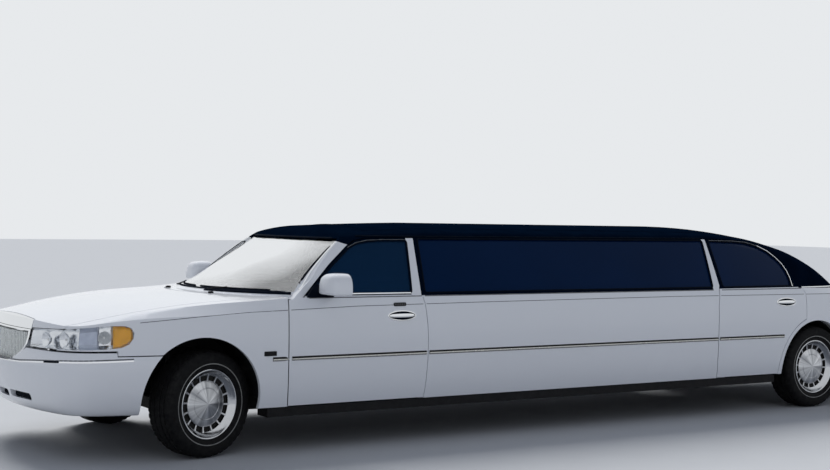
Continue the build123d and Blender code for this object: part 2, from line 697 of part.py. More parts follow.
def seat(x, y, back_x, cushion_z, back_z, lean):
    """A cushion and a leaning backrest in one, seen from the side."""
    front, rear = x
    low, high = cushion_z
    cushion = [(front, low), (front, high - 25), (front + 60, high), (rear, high - 30)]
    backrest = [(back_x + lean, back_z), (back_x + lean + 90, back_z), (back_x + 110, low)]
    return prism_y(cushion + backrest, y)


housing_left = wheel_housing((FRONT_AXLE_X - 20, FRONT_ARCH[1]), 423, (515, 885), (480, 860), 350)
housing_left = housing_left - block((-3085, -2865), (-560, -480), (400, 670))
housing_rear_left = wheel_housing(REAR_ARCH[:2], REAR_ARCH[2] + 10, (692, 885), (490, 860), 420)

# Front suspension about the axle line
LOWER_ARM_Z = (190.0, 217.0)
UPPER_ARM_Z = (479.0, 503.0)
PIN_Z = ((203.0, 235.0), (462.0, 491.0))


def arm(z_in, z_out, foot_half):
    """A left wishbone, wide at the frame and narrow at its ball joint."""
    inboard, outboard = 425.0, KINGPIN_HALF + 10
    low, high = z_out
    plan = ((-foot_half, -inboard), (foot_half, -inboard), (16, -outboard), (-16, -outboard))
    flat = prism_z([(FRONT_AXLE_X + x, y) for x, y in plan], (min(low, z_in[0]), max(high, z_in[1])))
    inner_end = [(-690, low), (-inboard, z_in[0]), (-inboard, z_in[1]), (-690, high)]
    side = [*inner_end, (-outboard, high), (-outboard, low)]
    return flat & prism_x(side, (FRONT_AXLE_X - 300, FRONT_AXLE_X + 300))


def front_suspension():
    """Cross-member, wishbones, springs and their towers."""
    x = FRONT_AXLE_X
    pieces = [block((x - 70, x + 70), (-512, 512), (225, 300))]
    pieces += [block((x - 60, x + 60), sorted((side * 432, side * 508)), (300, 380)) for side in (-1, 1)]
    left = [arm((235, 275), LOWER_ARM_Z, 150), arm((495, 530), UPPER_ARM_Z, 90)]
    left.append(Pos(x, -575, 435) * Cylinder(48, 380))
    left.append(block((x - 55, x + 55), (-508, -455), (472, 660)))
    left.append(block((x - 55, x + 55), (-625, -455), (622, 660)))
    left += [Pos(x, -KINGPIN_HALF, (a + b) / 2) * Cylinder(PIN_R, b - a) for a, b in PIN_Z]
    pieces += left + [mirror(piece, about=Plane.XZ) for piece in left]
    return pieces[0].fuse(*pieces[1:])


def rear_axle():
    """Live axle with its differential, trailing arms and air springs."""
    x, z = REAR_AXLE_X, TYRE_R
    end = REAR_TRACK_HALF - 25
    pieces = [cylinder_y(x, z, 40, (-end, end)), Pos(x, 0, z) * Sphere(125)]
    pieces.append(Pos(x - 110, 0, z) * Rot(0, 90, 0) * Cylinder(62, 120))
    pieces.append(cylinder_y(x, z, SPINDLE_R, (-end - 60, end + 60)))
    for side in (-1, 1):
        pieces.append(Pos(x, side * 470, z + 105) * Cylinder(58, 144))
        pieces.append(block((x - 430, x), sorted((side * 545, side * 590)), (z - 28, z + 12)))
        pieces.append(block((x - 430, x - 380), sorted((side * 510, side * 590)), (z - 28, z + 60)))
    return pieces[0].fuse(*pieces[1:])


def propshaft():
    """Gearbox and the shaft to the rear axle."""
    box = block((-2545, -1960), (-130, 130), (300, 490))
    shaft = Pos(0, 0, TYRE_R) * Rot(0, 90, 0) * Cylinder(SHAFT_R, 2 * 2380)
    shaft = shaft & block((-1970, REAR_AXLE_X - 171), (-100, 100), (200, 500))
    return box + shaft


def exhaust():
    """A left pipe with its silencer."""
    y, z, radius = PIPE
    pipe = Pos(0, -y, z) * Rot(0, 90, 0) * Cylinder(radius, 2 * 3900)
    pipe = pipe & block((-2560, 3900), (-1000, 0), (0, 600))
    silencer = Pos(850, -y + 30, z + 5) * Rot(0, 90, 0) * Cylinder(62, 560)
    return pipe + silencer


def dashboard():
    """Instrument panel across the cabin, with the steering wheel on its column."""
    top = [(-2330, 700), (-2330, 950), (-2240, 965), (-2060, 945), (-1990, 880)]
    underside = [(-2010, 780), (-2080, 660), (-2200, 620)]
    panel = prism_y(top + underside, (-785, 785))
    tilt = Pos(-1850, -400, 880) * Rot(0, 65, 0)
    wheel = tilt * Torus(185, 15)
    spokes = tilt * block((-12, 12), (-180, 180), (-8, 8)) + tilt * Cylinder(52, 26)
    column = tilt * Pos(0, 0, -120) * Cylinder(24, 240)
    return panel + wheel + spokes + column


def mirror_shell():
    """A left door mirror on its sail-shaped foot."""
    head = Pos(-2150, -1075, 1098) * Box(120, 220, 135)
    head = fillet(head.edges(), 38)
    foot = prism_y([(-2190, 1024), (-2105, 1024), (-2165, 1090)], (-985, -905))
    return head + foot


tunnel = block((-1200, 2100), (-165, 165), (300, 440))
partition = block((-1090, -1070), (-640, 640), (347, 1380)) - tunnel
couch = block((-1000, 1300), (330, 790), (347, 700)) + block((-1000, 1300), (650, 790), (600, 980))
rear_seat = seat((1560, 2020), (-660, 660), 2010, (347, 690), 1150, 200)
rear_seat = cut(rear_seat, [block((1990, 2500), (-700, 700), (300, 645)), tunnel])
rocker_outline = [(-944, 236), (-944, 296), (-832, 296), (-832, 332), (-802, 332), (-802, 236)]
seat_spans = ((-680, -170), (170, 680))
parts = {
    "frame_rails": frame_rails(),
    "cross_members": cross_members(),
    "outriggers": outriggers(),
    "floor_pan": [floor()],
    "bulkhead": [bulkhead()],
    "engine": [block((-3360, -2560), (-300, 300), (330, 850))],
    "front_bumper": [front_bumper],
    "rear_bumper": [rear_bumper],
    "grille": [grille_frame, header],
    "grille_insert": [grille_insert],
    "headlamps": both(headlamp_left),
    "tail_lamps": both(tail_lamp_left),
    "front_fenders": both(max(fender_left.solids(), key=lambda s: s.volume)),
    "cowl": [cowl],
    "hood": [hood],
    "windshield_frame": [windshield_frame],
    "roof": [roof],
    "side_panels": both(side_panel_left),
    "rear_quarters": quarters.solids(),
    "rockers": both(prism_x(rocker_outline, (-2560, 2060))),
    "trunk_lid": [trunk_lid],
    "windshield": [windshield],
    "rear_window": [backlight],
    "centre_windows": centre_glass.solids(),
    "wheel_housings": [*both(housing_left), *both(housing_rear_left)],
    "front_suspension": [front_suspension()],
    "rear_axle": [rear_axle()],
    "propshaft": [propshaft()],
    "exhaust": both(exhaust()),
    "fuel_tank": [block((3040, 3680), (-320, 320), (285, 455))],
    "dashboard": [dashboard()],
    "front_seats": [seat((-1790, -1330), y, -1330, (347, 620), 1120, 130) for y in seat_spans],
    "partition": [partition],
    "side_couch": [couch],
    "bar_cabinet": [block((-900, 1100), (-800, -480), (347, 790))],
    "rear_seat": [rear_seat],
    "parcel_shelf": [block((2330, 2990), (-690, 690), (SHELF_Z, SHELF_Z + 15))],
    "knuckle_left": [front_place(-1) * knuckle(-1)],
    "knuckle_right": [front_place(1) * knuckle(1)],
}
doors = {
    "front_door": (front_door_left, front_door_glass),
    "rear_door": (rear_door_left, rear_door_glass),
}
for name, (panel, glass) in doors.items():
    for side, turned in zip(("left", "right"), zip(both(panel), both(glass))):
        parts[f"{name}_{side}"] = [turned[0]]
        parts[f"{name}_glass_{side}"] = [turned[1]]
for side, shell in zip(("left", "right"), both(mirror_shell())):
    parts[f"mirror_{side}"] = [shell]
for spot, (wheel, tyre, place) in wheels.items():
    parts[f"wheel_{spot}"] = [place * wheel]
    parts[f"tyre_{spot}"] = [place * tyre]
for node, solids in parts.items():
    write(node, *solids)
print(len(parts), "nodes")
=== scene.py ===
"""Looks of a white stretch limousine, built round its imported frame.

Metres. +X runs to the tail, -Y is the car's left side, +Z is up. Left-hand pieces are modelled and mirrored.
"""

import json
from math import atan2, cos, exp, pi, radians, sin

import bpy
import numpy as np
from mathutils import Matrix, Vector
from mathutils.bvhtree import BVHTree


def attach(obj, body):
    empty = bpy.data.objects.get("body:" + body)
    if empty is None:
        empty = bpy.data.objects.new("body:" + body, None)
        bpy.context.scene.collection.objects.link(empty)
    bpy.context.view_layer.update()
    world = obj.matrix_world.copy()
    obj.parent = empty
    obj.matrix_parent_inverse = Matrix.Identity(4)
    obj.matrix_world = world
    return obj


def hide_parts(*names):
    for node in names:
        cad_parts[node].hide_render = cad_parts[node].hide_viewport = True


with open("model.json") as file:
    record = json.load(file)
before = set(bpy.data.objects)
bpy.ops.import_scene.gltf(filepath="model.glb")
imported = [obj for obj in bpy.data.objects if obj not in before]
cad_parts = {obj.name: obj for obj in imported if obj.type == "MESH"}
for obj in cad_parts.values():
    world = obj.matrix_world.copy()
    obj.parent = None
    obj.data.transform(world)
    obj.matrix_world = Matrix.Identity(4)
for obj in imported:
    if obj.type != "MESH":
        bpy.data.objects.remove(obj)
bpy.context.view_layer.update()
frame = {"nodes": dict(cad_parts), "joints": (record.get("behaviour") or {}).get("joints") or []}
nodes = frame["nodes"]

# Camera, solved from the photograph
CAMERA_AT = Vector((-6.6706, -9.0201, 1.5541))
YAW, PITCH, ROLL = 0.5731, -0.0146, 0.0175
LENS_MM = 61.17

# Places on the car, and bodies that come in a left and a right
BELT_Z = 1.000
REAR_AXLE_X = 2.5555
TYRE_R = 0.338
FRONT_DOOR = "door_front_{side}"
REAR_DOOR = "door_rear_{side}"


# Shading


def feed(node, **values):
    """Sets inputs of a node; an underscore in a name stands for a space."""
    for name, value in values.items():
        node.inputs[name.replace("_", " ")].default_value = value


class Surface:
    """A material made of a principled shader and what feeds it."""

    def __init__(self, name, color, rough, metallic=0.0, **more):
        self.material = bpy.data.materials.new(name)
        self.material.use_nodes = True
        self.tree = self.material.node_tree
        self.shader = self.tree.nodes["Principled BSDF"]
        self.place = self.node("TexCoord").outputs["Object"]
        self.normal = None
        feed(self.shader, Base_Color=(*color, 1.0), Roughness=rough, Metallic=metallic, **more)

    def node(self, kind, **settings):
        made = self.tree.nodes.new("ShaderNode" + kind)
        for key, value in settings.items():
            setattr(made, key, value)
        return made

    def link(self, out, into):
        self.tree.links.new(out, into)

    def xyz(self):
        """The three parts of the place on the object."""
        split = self.node("SeparateXYZ")
        self.link(self.place, split.inputs[0])
        return split.outputs

    def noise(self, scale, detail=3.0, stretch=(1, 1, 1)):
        """Noise in metres of the object's own space, stretched along an axis if asked."""
        mapping = self.node("Mapping")
        made = self.node("TexNoise")
        feed(mapping, Scale=stretch)
        feed(made, Scale=scale, Detail=detail)
        self.link(self.place, mapping.inputs["Vector"])
        self.link(mapping.outputs["Vector"], made.inputs["Vector"])
        return made.outputs["Fac"]

    def cells(self, scale):
        made = self.node("TexVoronoi")
        feed(made, Scale=scale)
        self.link(self.place, made.inputs["Vector"])
        return made.outputs["Distance"]

    def maths(self, operation, a, b):
        """The result of a Math node for two values, each of them a socket or a number."""
        made = self.node("Math", operation=operation)
        for i, value in enumerate((a, b)):
            if isinstance(value, float):
                made.inputs[i].default_value = value
            else:
                self.link(value, made.inputs[i])
        return made.outputs[0]

    def spread(self, source, start, end, low=0.0, high=1.0):
        """What a source has between start and end, laid out from low to high."""
        ramp = self.node("MapRange")
        feed(ramp, From_Min=start, From_Max=end, To_Min=low, To_Max=high)
        self.link(source, ramp.inputs["Value"])
        return ramp.outputs["Result"]

    def vary(self, source, low, high, name="Base Color", span=(0.35, 0.65)):
        """Feeds an input of the shader with a value or colour that follows a texture."""
        into = self.shader.inputs[name]
        if isinstance(low, tuple):
            mix = self.node("Mix", data_type="RGBA")
            mix.inputs[6].default_value = (*low, 1.0)
            mix.inputs[7].default_value = (*high, 1.0)
            self.link(self.spread(source, *span), mix.inputs[0])
            self.link(mix.outputs[2], into)
        else:
            self.link(self.spread(source, *span, low, high), into)
        return self

    def bump(self, source, strength, distance):
        """Adds relief; a second call lies on top of the first."""
        made = self.node("Bump")
        feed(made, Strength=strength, Distance=distance)
        self.link(source, made.inputs["Height"])
        if self.normal:
            self.link(self.normal, made.inputs["Normal"])
        self.normal = made.outputs["Normal"]
        self.link(self.normal, self.shader.inputs["Normal"])
        return self


def white_paint(name="white_paint"):
    """Gloss white coachwork."""
    s = Surface(name, (0.80, 0.82, 0.85), 0.27, Coat_Weight=0.7, Coat_Roughness=0.03)
    return s.vary(s.noise(1.3, 1.0), (0.800, 0.820, 0.855), (0.812, 0.832, 0.868), span=(0.1, 0.9))


VINYL_DARK = (0.0009, 0.0040, 0.0115)
VINYL_PALE = (0.0013, 0.0054, 0.0150)


def roof_vinyl():
    """Black grained vinyl with a navy cast."""
    s = Surface("roof_vinyl", VINYL_PALE, 0.8, Specular_IOR_Level=0.0)
    s.vary(s.noise(9.0, 4.0), VINYL_DARK, VINYL_PALE)
    s.vary(s.noise(60.0), 0.7, 0.9, "Roughness")
    s.bump(s.cells(420.0), 0.4, 0.0008)
    return s.bump(s.noise(11.0, 2.0), 0.12, 0.004)


def part_black(name, black):
    """White, with the black of the roof where the given test of X and Z says so."""
    s = white_paint(name)
    vinyl = s.node("BsdfPrincipled")
    feed(vinyl, Base_Color=(*VINYL_PALE, 1.0), Roughness=0.8, Specular_IOR_Level=0.0)
    place = s.xyz()
    mix = s.node("MixShader")
    s.link(black(s, place["X"], place["Z"]), mix.inputs[0])
    s.link(s.shader.outputs[0], mix.inputs[1])
    s.link(vinyl.outputs[0], mix.inputs[2])
    s.link(mix.outputs[0], s.tree.nodes["Material Output"].inputs["Surface"])
    return s


def above_belt(s, x, z):
    return s.maths("GREATER_THAN", z, BELT_Z + 0.006)


def above_belt_but_band(s, x, z):
    """Black above the belt, apart from the white band down the rear of the door's window frame."""
    lean = s.maths("MULTIPLY", s.maths("SUBTRACT", z, 1.022), 0.22)
    ahead = s.maths("LESS_THAN", s.maths("SUBTRACT", x, lean), -1.456)
    return s.maths("MULTIPLY", above_belt(s, x, z), ahead)


def top_of_pillar(s, x, z):
    lean = s.maths("MULTIPLY", s.maths("ADD", x, 2.0), 0.305)
    return s.maths("GREATER_THAN", s.maths("ADD", z, lean), 1.386)


def brushed(name, color, rough, low, high, metallic=1.0):
    s = Surface(name, color, rough, metallic)
    return s.vary(s.noise(30.0, 4.0), low, high, "Roughness")


def turned_alloy():
    """Brushed metal whose highlights run out from the hub, which lies on the object's own Y axis; lighter and
    darker sectors of its colour round the hub are painted highlights.
    """
    s = Surface("turned_alloy", (0.40, 0.41, 0.43), 0.34, 1.0, Anisotropic=0.85)
    tangent = s.node("Tangent", direction_type="RADIAL", axis="Y")
    s.link(tangent.outputs[0], s.shader.inputs["Tangent"])
    place = s.xyz()
    # Painted highlights: the colour is lighter and darker in sectors round the hub.
    painted_highlight_rays = s.node("TexNoise", noise_dimensions="1D")
    feed(painted_highlight_rays, Scale=2.2)
    s.link(s.maths("ARCTAN2", place["Z"], place["X"]), painted_highlight_rays.inputs["W"])
    s.vary(painted_highlight_rays.outputs["Fac"], (0.27, 0.28, 0.30), (0.74, 0.75, 0.77), span=(0.32, 0.68))
    return s.vary(s.noise(40.0, 4.0), 0.28, 0.40, "Roughness")


def leather():
    low, high = (0.10, 0.10, 0.112), (0.15, 0.15, 0.165)
    s = Surface("seat_leather", low, 0.45, Specular_IOR_Level=0.4)
    s.vary(s.noise(18.0, 4.0), low, high)
    s.vary(s.noise(45.0), 0.38, 0.55, "Roughness")
    s.bump(s.cells(300.0), 0.35, 0.0012)
    return s.bump(s.noise(25.0, 4.0), 0.25, 0.004)


def rubber():
    s = Surface("tyre_rubber", (0.006, 0.006, 0.007), 0.8, Specular_IOR_Level=0.12)
    s.vary(s.noise(30.0, 5.0), (0.004, 0.004, 0.005), (0.011, 0.011, 0.011))
    s.vary(s.noise(80.0), 0.62, 0.85, "Roughness")
    return s.bump(s.noise(350.0, 3.0), 0.25, 0.001)


def plastic(name, low, high, rough=0.5, grain=500.0, gloss=0.5):
    s = Surface(name, low, rough, Specular_IOR_Level=gloss)
    s.vary(s.noise(25.0, 4.0), low, high)
    s.vary(s.noise(70.0), rough - 0.08, rough + 0.1, "Roughness")
    return s.bump(s.noise(grain, 2.0), 0.25, 0.0008)


def veneer():
    s = Surface("cabinet_wood", (0.10, 0.045, 0.02), 0.25, Coat_Weight=0.6)
    s.vary(s.noise(16.0, 6.0, (0.12, 1, 1)), (0.05, 0.02, 0.01), (0.16, 0.07, 0.03))
    return s.bump(s.noise(120.0, 3.0, (0.1, 1, 1)), 0.1, 0.0006)


def dark_glass(name, tint, alpha):
    """Tinted side glass: a dark, mostly opaque body colour under a thin gloss tinted blue, a painted
    reflection of a blue sky.
    """
    # The gloss's blue tint is a painted reflection of the sky's colour.
    gloss = (0.05, 0.40, 1.0, 1.0)
    s = Surface(name, tint, 0.04, Specular_IOR_Level=0.06, Specular_Tint=gloss, Alpha=alpha)
    low, high = [tuple(share * c for c in tint) for share in (0.85, 1.15)]
    return s.vary(s.noise(1.2, 2.0), low, high, span=(0.2, 0.8))


def bright_screen():
    """The windshield: white mirror metal whose alpha is a painted reflection of the pale sky, with painted
    streaks; it clears towards the left pillar and the lower corner.
    """
    s = Surface("windshield_glass", (1.0, 1.0, 1.0), 0.12, 1.0, Alpha=0.9)
    place = s.xyz()
    across = s.spread(place["Y"], -0.80, -0.15, -0.60, 0.30)
    up = s.spread(place["Z"], 1.05, 1.25, -0.15, 0.15)
    # Painted streaks of reflection across the glass.
    painted_reflection_streaks = s.maths("MULTIPLY", s.noise(1.6, 1.0, (1, 1.4, 1.6)), 0.6)
    painted_reflection = s.maths("ADD", s.maths("ADD", s.maths("ADD", across, up), painted_reflection_streaks), 0.40)
    limited = s.node("Clamp")
    feed(limited, Min=0.2, Max=0.97)
    s.link(painted_reflection, limited.inputs["Value"])
    s.link(limited.outputs[0], s.shader.inputs["Alpha"])
    return s


def lens_plastic(name, color, alpha, rough=0.04):
    """A moulded lamp cover, seen through where its alpha is low."""
    coat = {"Coat_Weight": 0.1, "Coat_Roughness": 0.03}
    s = Surface(name, color, rough, Alpha=alpha, Specular_IOR_Level=0.15, **coat)
    s.vary(s.noise(14.0, 2.0), 0.85 * alpha, min(1.0, 1.15 * alpha), "Alpha")
    return s.bump(s.noise(90.0, 2.0), 0.06, 0.001)


SURFACES = {
    "paint": white_paint(),
    "vinyl": roof_vinyl(),
    "front_door_skin": part_black("front_door_skin", above_belt_but_band),
    "rear_door_skin": part_black("rear_door_skin", above_belt),
    "pillar_skin": part_black("pillar_skin", top_of_pillar),
    "chrome": brushed("bright_trim", (0.82, 0.83, 0.84), 0.09, 0.05, 0.14),
    "bars": brushed("grille_bars", (0.90, 0.92, 0.90), 0.28, 0.22, 0.36, 0.4),
    # Chrome painted darker, as if in shade, on the window lines; on the valve covers it is plain dark metal.
    "dark_chrome": brushed("dark_trim", (0.20, 0.21, 0.23), 0.3, 0.22, 0.36),
    "moulding": brushed("moulding_strip", (0.46, 0.46, 0.44), 0.2, 0.14, 0.30),
    "mirror": brushed("mirror_glass", (0.70, 0.73, 0.76), 0.03, 0.02, 0.05),
    "reflector": brushed("lamp_reflector", (0.76, 0.78, 0.81), 0.16, 0.10, 0.24),
    "lamp_panel": plastic("lamp_panel", (0.52, 0.57, 0.68), (0.62, 0.67, 0.78), 0.35, 80.0),
    "alloy": brushed("wheel_alloy", (0.44, 0.45, 0.47), 0.3, 0.22, 0.38),
    "turned": turned_alloy(),
    "rim": brushed("polished_rim", (0.52, 0.53, 0.55), 0.16, 0.10, 0.24),
    "steel": brushed("pipe_steel", (0.32, 0.31, 0.30), 0.45, 0.35, 0.6),
    "tyre": rubber(),
    "ring": plastic("tyre_ring", (0.20, 0.20, 0.19), (0.30, 0.30, 0.28), 0.6),
    "black": plastic("rocker_black", (0.006, 0.006, 0.007), (0.011, 0.011, 0.012), 0.6, 500.0, 0.15),
    "seal": plastic("window_seal", (0.0012, 0.0030, 0.0075), (0.0025, 0.0050, 0.0110), 0.7, 300.0, 0.03),
    # Dark lines: real panel and belt lines, and painted shade along the crease and in the bumper groove.
    "seam": plastic("panel_line", (0.10, 0.105, 0.115), (0.14, 0.145, 0.155), 0.6, 200.0),
    "frame": plastic("frame_black", (0.006, 0.006, 0.006), (0.016, 0.015, 0.014), 0.65, 120.0, 0.2),
    "iron": plastic("engine_iron", (0.06, 0.06, 0.06), (0.13, 0.12, 0.11), 0.6, 90.0),
    "trim": plastic("cabin_trim", (0.030, 0.030, 0.034), (0.050, 0.050, 0.055), 0.55, 260.0),
    "carpet": plastic("cabin_carpet", (0.035, 0.036, 0.042), (0.060, 0.061, 0.068), 0.9, 900.0),
    "plate": plastic("blank_plate", (0.60, 0.61, 0.62), (0.66, 0.67, 0.68), 0.4, 60.0),
    "leather": leather(),
    "wood": veneer(),
    "screen": bright_screen(),
    "side_glass": dark_glass("privacy_glass", (0.0010, 0.0120, 0.0500), 0.97),
    "door_glass": dark_glass("door_glass", (0.005, 0.026, 0.068), 0.9),
    "lens": lens_plastic("lamp_clear", (0.80, 0.83, 0.87), 0.04),
    "amber": lens_plastic("lamp_amber", (1.0, 0.46, 0.002), 0.97, 0.2),
    "red": lens_plastic("lamp_red", (0.42, 0.008, 0.008), 0.97, 0.1),
    "bulb": plastic("lamp_bulb", (0.80, 0.80, 0.78), (0.88, 0.88, 0.86), 0.3, 50.0),
}

# The surface of each CAD node; a name with {} stands for its left and its right
NODES_OF = {
    "paint": "front_bumper rear_bumper front_fenders cowl hood side_panels rear_quarters trunk_lid mirror_{}",
    "vinyl": "roof",
    "front_door_skin": "front_door_{}",
    "rear_door_skin": "rear_door_{}",
    "pillar_skin": "windshield_frame",
    "chrome": "grille",
    "bars": "grille_insert",
    "alloy": "wheel_front_{} wheel_rear_{}",
    "tyre": "tyre_front_{} tyre_rear_{}",
    "steel": "propshaft exhaust",
    "black": "rockers wheel_housings",
    "frame": "frame_rails cross_members outriggers bulkhead front_suspension rear_axle fuel_tank knuckle_{}",
    "iron": "engine",
    "trim": "dashboard partition parcel_shelf",
    "carpet": "floor_pan",
    "leather": "front_seats side_couch rear_seat",
    "wood": "bar_cabinet",
    "screen": "windshield",
    "side_glass": "rear_window centre_windows rear_door_glass_{}",
    "door_glass": "front_door_glass_{}",
    "lens": "headlamps",
    "red": "tail_lamps",
}
SIDES = ("left", "right")
SMOOTH_UNDER = radians(28)


def smoothing_group():
    """Geometry nodes that join split corners and shade smoothly across shallow edges."""
    group = bpy.data.node_groups.new("smooth_by_angle", "GeometryNodeTree")
    group.interface.new_socket("Geometry", in_out="INPUT", socket_type="NodeSocketGeometry")
    group.interface.new_socket("Geometry", in_out="OUTPUT", socket_type="NodeSocketGeometry")
    make = group.nodes.new
    start, end = make("NodeGroupInput"), make("NodeGroupOutput")
    merge = make("GeometryNodeMergeByDistance")
    merge.inputs["Distance"].default_value = 0.00002
    smooth = make("GeometryNodeSetShadeSmooth")
    sharp = make("GeometryNodeSetShadeSmooth")
    sharp.domain = "EDGE"
    sharp.inputs["Shade Smooth"].default_value = False
    angle = make("GeometryNodeInputMeshEdgeAngle")
    compare = make("FunctionNodeCompare")
    compare.inputs[1].default_value = SMOOTH_UNDER
    for out, into in (
        (start.outputs[0], merge.inputs["Geometry"]),
        (merge.outputs["Geometry"], smooth.inputs["Geometry"]),
        (smooth.outputs["Geometry"], sharp.inputs["Geometry"]),
        (angle.outputs["Unsigned Angle"], compare.inputs[0]),
        (compare.outputs["Result"], sharp.inputs["Selection"]),
        (sharp.outputs["Geometry"], end.inputs[0]),
    ):
        group.links.new(out, into)
    return group


SMOOTHING = smoothing_group()


def shade(obj):
    """Smooth shading that keeps real edges crisp."""
    obj.modifiers.new("smooth", "NODES").node_group = SMOOTHING
    obj.modifiers.new("weights", "WEIGHTED_NORMAL").keep_sharp = True


def dress_nodes():
    for surface, names in NODES_OF.items():
        for name in names.split():
            for side in SIDES if "{}" in name else ("",):
                node = nodes[name.format(side)]
                node.data.materials.clear()
                node.data.materials.append(SURFACES[surface].material)
                shade(node)


# Making pieces; a mesh is its (points, faces)


def added(name, data):
    """A new object of the scene."""
    obj = bpy.data.objects.new(name, data)
    bpy.context.scene.collection.objects.link(obj)
    return obj


def meshed(name, mesh):
    """A new object of the scene, made of a mesh."""
    verts, faces = mesh
    data = bpy.data.meshes.new(name)
    data.from_pydata([tuple(v) for v in verts], [], faces)
    data.update()
    return added(name, data)


def piece(name, mesh, surface, body="body", replaces="", bevel=0.0, place=None):
    """A mesh in the car's own space, or in its own at a place, that rides on a body."""
    obj = meshed(name, mesh)
    obj.data.materials.append(SURFACES[surface].material)
    if bevel:
        made = obj.modifiers.new("bevel", "BEVEL")
        made.width = bevel
        made.segments = 3
        made.limit_method = "ANGLE"
        made.angle_limit = radians(35)
    if place is not None:
        obj.matrix_world = place
    shade(obj)
    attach(obj, body)
    if replaces:
        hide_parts(replaces)
    return obj


def mirrored(mesh):
    """The same mesh on the right-hand side."""
    verts, faces = mesh
    return [(x, -y, z) for x, y, z in verts], [tuple(reversed(face)) for face in faces]


def pair(name, mesh, surface, body="body", replaces="", **more):
    """A left piece and its mirror image; {side} in a body's or node's name becomes left or right."""
    made = []
    for side in SIDES:
        shape = mesh if side == "left" else mirrored(mesh)
        bodies = body.format(side=side), replaces.format(side=side)
        made.append(piece(f"{name}_{side}", shape, surface, *bodies, **more))
    return made


def join(*meshes):
    """Several meshes as one."""
    verts, faces = [], []
    for v, f in meshes:
        faces += [tuple(i + len(verts) for i in face) for face in f]
        verts += [tuple(p) for p in v]
    return verts, faces


def placed(at, turn=0.0, axis="Z"):
    """A place, and a turn in degrees about an axis there."""
    return Matrix.Translation(at) @ Matrix.Rotation(radians(turn), 4, axis)


def axes(x, y, z, at):
    """A place with these three axes."""
    made = Matrix((x, y, z)).transposed().to_4x4()
    made.translation = at
    return made


def moved(mesh, matrix):
    verts, faces = mesh
    return [tuple(matrix @ Vector(v)) for v in verts], faces


def circle(steps):
    """Cosine and sine of even steps round a circle."""
    return [(cos(2 * pi * i / steps), sin(2 * pi * i / steps)) for i in range(steps)]


def between(table, at):
    """Reads a table of (place, value) rows, with straight runs between them."""
    places, values = zip(*table)
    return float(np.interp(at, places, values))


def box(x, y, z):
    verts = [(a, b, c) for a in x for b in y for c in z]
    faces = [(0, 1, 3, 2), (4, 6, 7, 5), (0, 4, 5, 1), (2, 3, 7, 6), (0, 2, 6, 4), (1, 5, 7, 3)]
    return verts, faces


def grid_faces(rows, columns, close_rows=False, close_columns=False):
    """Quads over a grid of points stored row by row."""
    faces = []
    for i in range(rows if close_rows else rows - 1):
        for j in range(columns if close_columns else columns - 1):
            a, b = i * columns, ((i + 1) % rows) * columns
            k = (j + 1) % columns
            faces.append((a + j, a + k, b + k, b + j))
    return faces


def row_face(row, columns):
    """One face over a whole row of points."""
    return tuple(range(row * columns, (row + 1) * columns))


def tube_faces(rows, columns):
    """Quads round rows of points, with both ends closed."""
    around = grid_faces(rows, columns, False, True)
    return around + [row_face(0, columns)[::-1], row_face(rows - 1, columns)]


def revolved(profile, steps, ripple=None):
    """A closed profile of (Y, radius) turned about the Y axis; ripple changes a radius by its angle."""
    verts = []
    for i, (c, s) in enumerate(circle(steps)):
        for j, (y, r) in enumerate(profile):
            radius = ripple(i, j, r) if ripple else r
            verts.append((radius * c, y, radius * s))
    return verts, grid_faces(steps, len(profile), True, True)


def dense(points, step, closed=False):
    """A polyline's points, spaced evenly along each run."""
    out = []
    ends = points[1:] + points[:1] if closed else points[1:]
    for a, b in zip(points, ends):
        count = max(1, round((Vector(b) - Vector(a)).length / step))
        out += [tuple(Vector(a).lerp(Vector(b), i / count)) for i in range(count)]
    return out if closed else out + [tuple(points[-1])]


def rounded(points, radius, steps=5):
    """A closed outline in two values, with each corner rounded."""
    out = []
    count = len(points)
    for i, corner in enumerate(points):
        c = Vector(corner)
        a, b = Vector(points[i - 1]) - c, Vector(points[(i + 1) % count]) - c
        r = min(radius, 0.45 * a.length, 0.45 * b.length)
        p, q = c + a.normalized() * r, c + b.normalized() * r
        for k in range(steps + 1):
            t = k / steps
            out.append(tuple((1 - t) ** 2 * p + 2 * t * (1 - t) * c + t ** 2 * q))
    return out


def swept(line, profile, closed=False):
    """A profile of (across, out) swept along points that carry a surface normal."""
    verts = []
    count = len(line)
    for i, (point, normal) in enumerate(line):
        before = line[i - 1][0] if closed or i else line[i][0]
        after = line[(i + 1) % count][0] if closed or i < count - 1 else line[i][0]
        along = (after - before).normalized()
        across = normal.cross(along).normalized()
        out = along.cross(across)
        verts += [point + across * a + out * b for a, b in profile]
    size = len(profile)
    return verts, grid_faces(count, size, True, True) if closed else tube_faces(count, size)


def bead(width, height, sink=0.002, steps=6):
    """A rounded moulding's profile, with its back sunk a little below the surface."""
    w = width / 2
    arc = [(w * cos(pi * i / steps), height * sin(pi * i / steps)) for i in range(steps + 1)]
    return [(w, -sink), *arc, (-w, -sink)]


def tube(points, radius, steps=8):
    """A round rod through points."""
    line = [Vector(p) for p in points]
    verts = []
    for i, p in enumerate(line):
        along = (line[min(i + 1, len(line) - 1)] - line[max(i - 1, 0)]).normalized()
        side = along.orthogonal().normalized()
        up = along.cross(side)
        verts += [p + radius * (c * side + s * up) for c, s in circle(steps)]
    return verts, tube_faces(len(line), steps)


# Camera, floor and light


def make_camera():
    forward = Vector((sin(YAW) * cos(PITCH), cos(YAW) * cos(PITCH), sin(PITCH)))
    side = forward.cross(Vector((0, 0, 1))).normalized()
    up = side.cross(forward)
    right = cos(ROLL) * side + sin(ROLL) * up
    top = cos(ROLL) * up - sin(ROLL) * side
    data = bpy.data.cameras.new("camera")
    data.lens = LENS_MM
    data.clip_end = 200.0
    camera = added("camera", data)
    camera.matrix_world = axes(right, top, -forward, CAMERA_AT)
    bpy.context.scene.camera = camera


